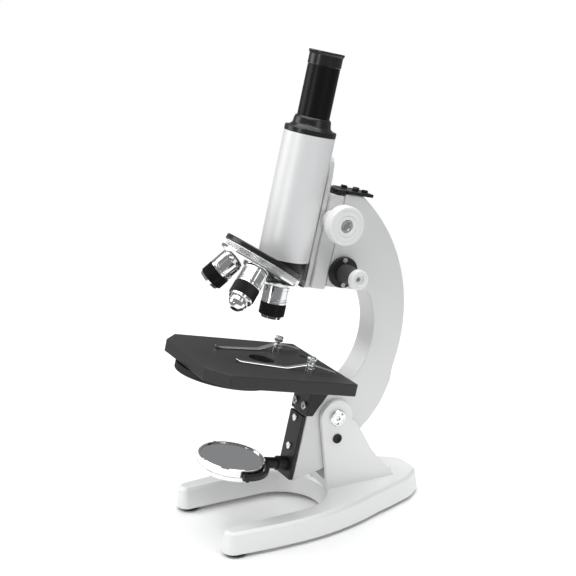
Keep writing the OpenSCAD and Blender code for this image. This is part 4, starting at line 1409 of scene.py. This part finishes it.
@dataclass
class Nosepiece(SubAssembly):
    """The turret, its cover and the three objectives.

    Attributes:
        body: the body most of it rides on.
        grip: how far the grips' lower edge lies from where the objectives' axes meet.
    """

    body: str = "revolver"
    grip: float = 87.2

    def make(self) -> None:
        """Builds the cover on the tube and the turret below it."""
        leaning = TUBE.inverted() @ NOSEPIECE
        cover = Blank().lathe(
            [(0.0, 1.9), (32.9, 1.9), (33.4, 2.3), (33.4, 5.2), (32.8, 6.0), (0.0, 6.0)], 160
        )
        neck = Blank().lathe([(8.5, 100.0), (20.0, 100.0), (20.0, 122.4), (8.5, 122.4)], 128)
        below = box_blank((-60.0, -60.0, -60.0), (60.0, 60.0, 4.0)).moved(leaning)
        cover = cover.moved(leaning).join(neck.carve([below]))
        self.piece("cover_look", cover, TUBE, Look.GLOSS_BLACK, ["nose_mount"], body="tube")
        dome = [
            (3.2, -13.7), (9.0, -13.7), (12.8, -13.3), (18.0, -11.9), (23.5, -9.7), (28.0, -7.3),
            (31.0, -5.5), (31.6, -5.0), (32.5, -5.0), (33.2, -4.3), (33.2, -3.0), (32.9, -2.8), (32.9, -2.5),
            (33.2, -2.3), (33.2, 1.1), (32.8, 1.55), (3.2, 1.55),
        ]
        turret = Blank().lathe(dome, ribs=Ribs(200, 0.3, -2.35, 1.2, 33.2))
        self.piece("turret_look", turret, NOSEPIECE, Look.CHROME, ["turret"], sharp=28.0)
        grips = Blank()
        for name, turn in (("short", 0.0), ("medium", 120.0), ("long", -120.0)):
            place = objective_place(turn)
            self.piece(
                f"{name}_look", self.barrel(name == "long"), place, Look.CHROME, [f"objective_{name}"],
                sharp=30.0,
            )
            g = self.grip
            ring = [
                (9.1, -g), (9.8, -g), (10.2, -g + 0.4), (10.2, -g + 9.2), (9.9, -g + 9.6), (9.1, -g + 9.6)
            ]
            grips.join(Blank().lathe(ring, ribs=Ribs(72, 0.35, -g + 0.3, -g + 9.3, 10.2)), place)
        self.piece("grips_look", grips, Matrix.Identity(4), Look.SATIN_BLACK, ["objective_grips"])
        tip = [
            (2.0, -98.0), (3.5, -98.0), (4.0, -97.7), (5.9, -95.9), (6.2, -95.4), (6.9, -92.7), (7.5, -92.5),
            (7.5, -78.8), (2.0, -78.8),
        ]
        self.piece(
            "tip_look", Blank().lathe(tip, 96), objective_place(-120.0), Look.CHROME, ["sprung_tip"],
            body="long_tip", sharp=30.0,
        )

    def barrel(self, sprung: bool) -> Blank:
        """One objective's barrel.

        Args:
            sprung: whether its front is open for a sprung tip.

        Returns:
            The barrel, along -Z.
        """
        g = self.grip
        bore = 7.65 if sprung else 5.05
        nose = [(bore, -g - 2.4), (9.0, -g - 2.4), (9.4, -g - 2.0), (9.4, -g)] if sprung else [
            (bore, -g - 2.4), (8.4, -g - 2.4), (8.8, -g - 2.1), (9.6, -g - 0.1)
        ]
        side = [
            (9.0, -g), (9.0, -77.5), (9.9, -77.4), (10.1, -77.2), (10.1, -75.7), (9.9, -75.5), (9.1, -75.5),
            (9.1, -74.7), (10.1, -74.6), (10.1, -73.9), (9.1, -73.8), (9.1, -73.3), (10.0, -73.2),
            (10.0, -66.2), (9.75, -66.0), (9.75, -65.6), (10.0, -65.4), (10.0, -63.9), (9.6, -63.5),
            (8.4, -63.4), (8.4, -59.6),
        ]
        inner = [(6.0, -59.6), (6.0, -74.5), (bore, -74.6)]
        return Blank().lathe(nose + side + inner, 128)


@dataclass
class Works:
    """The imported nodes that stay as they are, with their finishes.

    Attributes:
        looks: the finish of each node.
    """

    looks: dict[str, Look] = field(
        default_factory=lambda: {
            "foot_screws": Look.STEEL, "pillar_screws": Look.STEEL, "hinge_washers": Look.STEEL,
            "fine_shaft": Look.STEEL, "pinion_shaft": Look.STEEL, "turret_pivot": Look.STEEL,
            "click_screw": Look.STEEL, "diaphragm_screw": Look.STEEL, "fine_screw": Look.BRASS,
            "fine_nut": Look.BRASS, "pinion_bushings": Look.BRASS, "rack": Look.BRASS,
            "click_spring": Look.BLACK_STEEL, "eye_lens": Look.GLASS, "field_lens": Look.GLASS,
            "objective_lenses": Look.GLASS,
        },
    )

    def dress(self, nodes: dict[str, bpy.types.Object]) -> None:
        """Gives each of them its material.

        Args:
            nodes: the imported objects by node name.
        """
        for name, look in self.looks.items():
            item = nodes[name]
            item.data.materials.clear()
            item.data.materials.append(look.material())
            LOG.info("%s dressed", name)


@dataclass
class Studio:
    """A white table top, soft lights and the camera.

    Attributes:
        aim: the point the camera looks at, in millimetres.
        azimuth: the camera's bearing, in degrees from the front.
        elevation: its height above level, in degrees.
        distance: its distance from the point, in millimetres.
        lens: its focal length, in millimetres.
        surround: how bright the surround is to surfaces.
        looked_at: the point the lights are turned to, in metres.
    """

    aim: tuple[float, float, float] = (0.0, -36.538 + HINGE.y, 192.745)
    azimuth: float = 62.545
    elevation: float = 16.813
    distance: float = 1057.15
    lens: float = 84.39
    surround: float = 0.27
    looked_at: tuple[float, float, float] = (0.0, 0.0, 0.18)

    def build(self) -> None:
        """Builds the whole studio."""
        self._table()
        self._camera()
        self._world()
        self._light("key", (-0.85, -1.0, 0.8), 0.8, 5.0)
        self._light("fill", (1.25, 0.35, 0.75), 0.55, 1.6)
        self._light("top", (0.0, 0.0, 1.7), 2.2, 42.0)
        self._light("strip", (0.3, -1.3, 0.4), 0.22, 2.2, tall=3.4)

    def _table(self) -> None:
        """Builds the pale floor."""
        item = Blank().slab(circle((0.0, 0.0), 620.0, 128), [(-4.0, 0.0), (0.0, 0.0)]).raw_object("table")
        paper = Finish((0.97, 0.97, 0.97), (0.96, 0.96, 0.96), (0.7, 0.85), grain=0.02, scale=120.0)
        item.data.materials.append(paper.material("paper"))

    def _camera(self) -> None:
        """Places the camera."""
        a, e = math.radians(self.azimuth), math.radians(self.elevation)
        back = Vector((math.sin(a) * math.cos(e), -math.cos(a) * math.cos(e), math.sin(e)))
        data = bpy.data.cameras.new("view")
        data.lens, data.sensor_width = self.lens, 36.0
        data.clip_end = 20.0
        item = bpy.data.objects.new("view", data)
        item.location = (Vector(self.aim) + back * self.distance) * MM
        item.rotation_euler = back.to_track_quat("Z", "Y").to_euler()
        bpy.context.scene.collection.objects.link(item)
        bpy.context.scene.camera = item

    def _world(self) -> None:
        """Sets an even surround, white to the camera and dimmer to everything else."""
        world = bpy.data.worlds.new("surround")
        world.use_nodes = True
        tree = world.node_tree
        around = next(n for n in tree.nodes if n.type == "BACKGROUND")
        around.inputs["Color"].default_value = (0.96, 0.98, 1.0, 1.0)
        around.inputs["Strength"].default_value = self.surround
        seen, mix = tree.nodes.new("ShaderNodeBackground"), tree.nodes.new("ShaderNodeMixShader")
        path = tree.nodes.new("ShaderNodeLightPath")
        seen.inputs["Color"].default_value = (1.0, 1.0, 1.0, 1.0)
        seen.inputs["Strength"].default_value = 1.0
        tree.links.new(path.outputs["Is Camera Ray"], mix.inputs["Fac"])
        tree.links.new(around.outputs["Background"], mix.inputs[1])
        tree.links.new(seen.outputs["Background"], mix.inputs[2])
        result = next(n for n in tree.nodes if n.type == "OUTPUT_WORLD")
        tree.links.new(mix.outputs["Shader"], result.inputs["Surface"])
        bpy.context.scene.world = world
        bpy.context.scene.view_settings.view_transform = "Standard"

    def _light(
        self, name: str, place: tuple[float, float, float], size: float, power: float, tall: float = 1.0
    ) -> None:
        """Adds a soft rectangular light aimed at the microscope.

        Args:
            name: the light's name.
            place: where it stands, in metres.
            size: its width in metres.
            power: its power in watts.
            tall: its height over its width.
        """
        data = bpy.data.lights.new(name, "AREA")
        data.shape, data.size, data.size_y, data.energy = "RECTANGLE", size, size * tall, power
        item = bpy.data.objects.new(name, data)
        item.location = place
        item.rotation_euler = (Vector(place) - Vector(self.looked_at)).to_track_quat("Z", "Y").to_euler()
        bpy.context.scene.collection.objects.link(item)


def main() -> None:
    """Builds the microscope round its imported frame."""
    logging.basicConfig(level=logging.INFO, format="%(message)s")
    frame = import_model()
    Studio().build()
    for group in (Base(), Arm(), Stage(), MirrorUnit(), Focus(), Tube(), Nosepiece()):
        LOG.info("building %s", type(group).__name__)
        group.make()
    Works().dress(frame["nodes"])


if __name__ == "__main__":
    main()
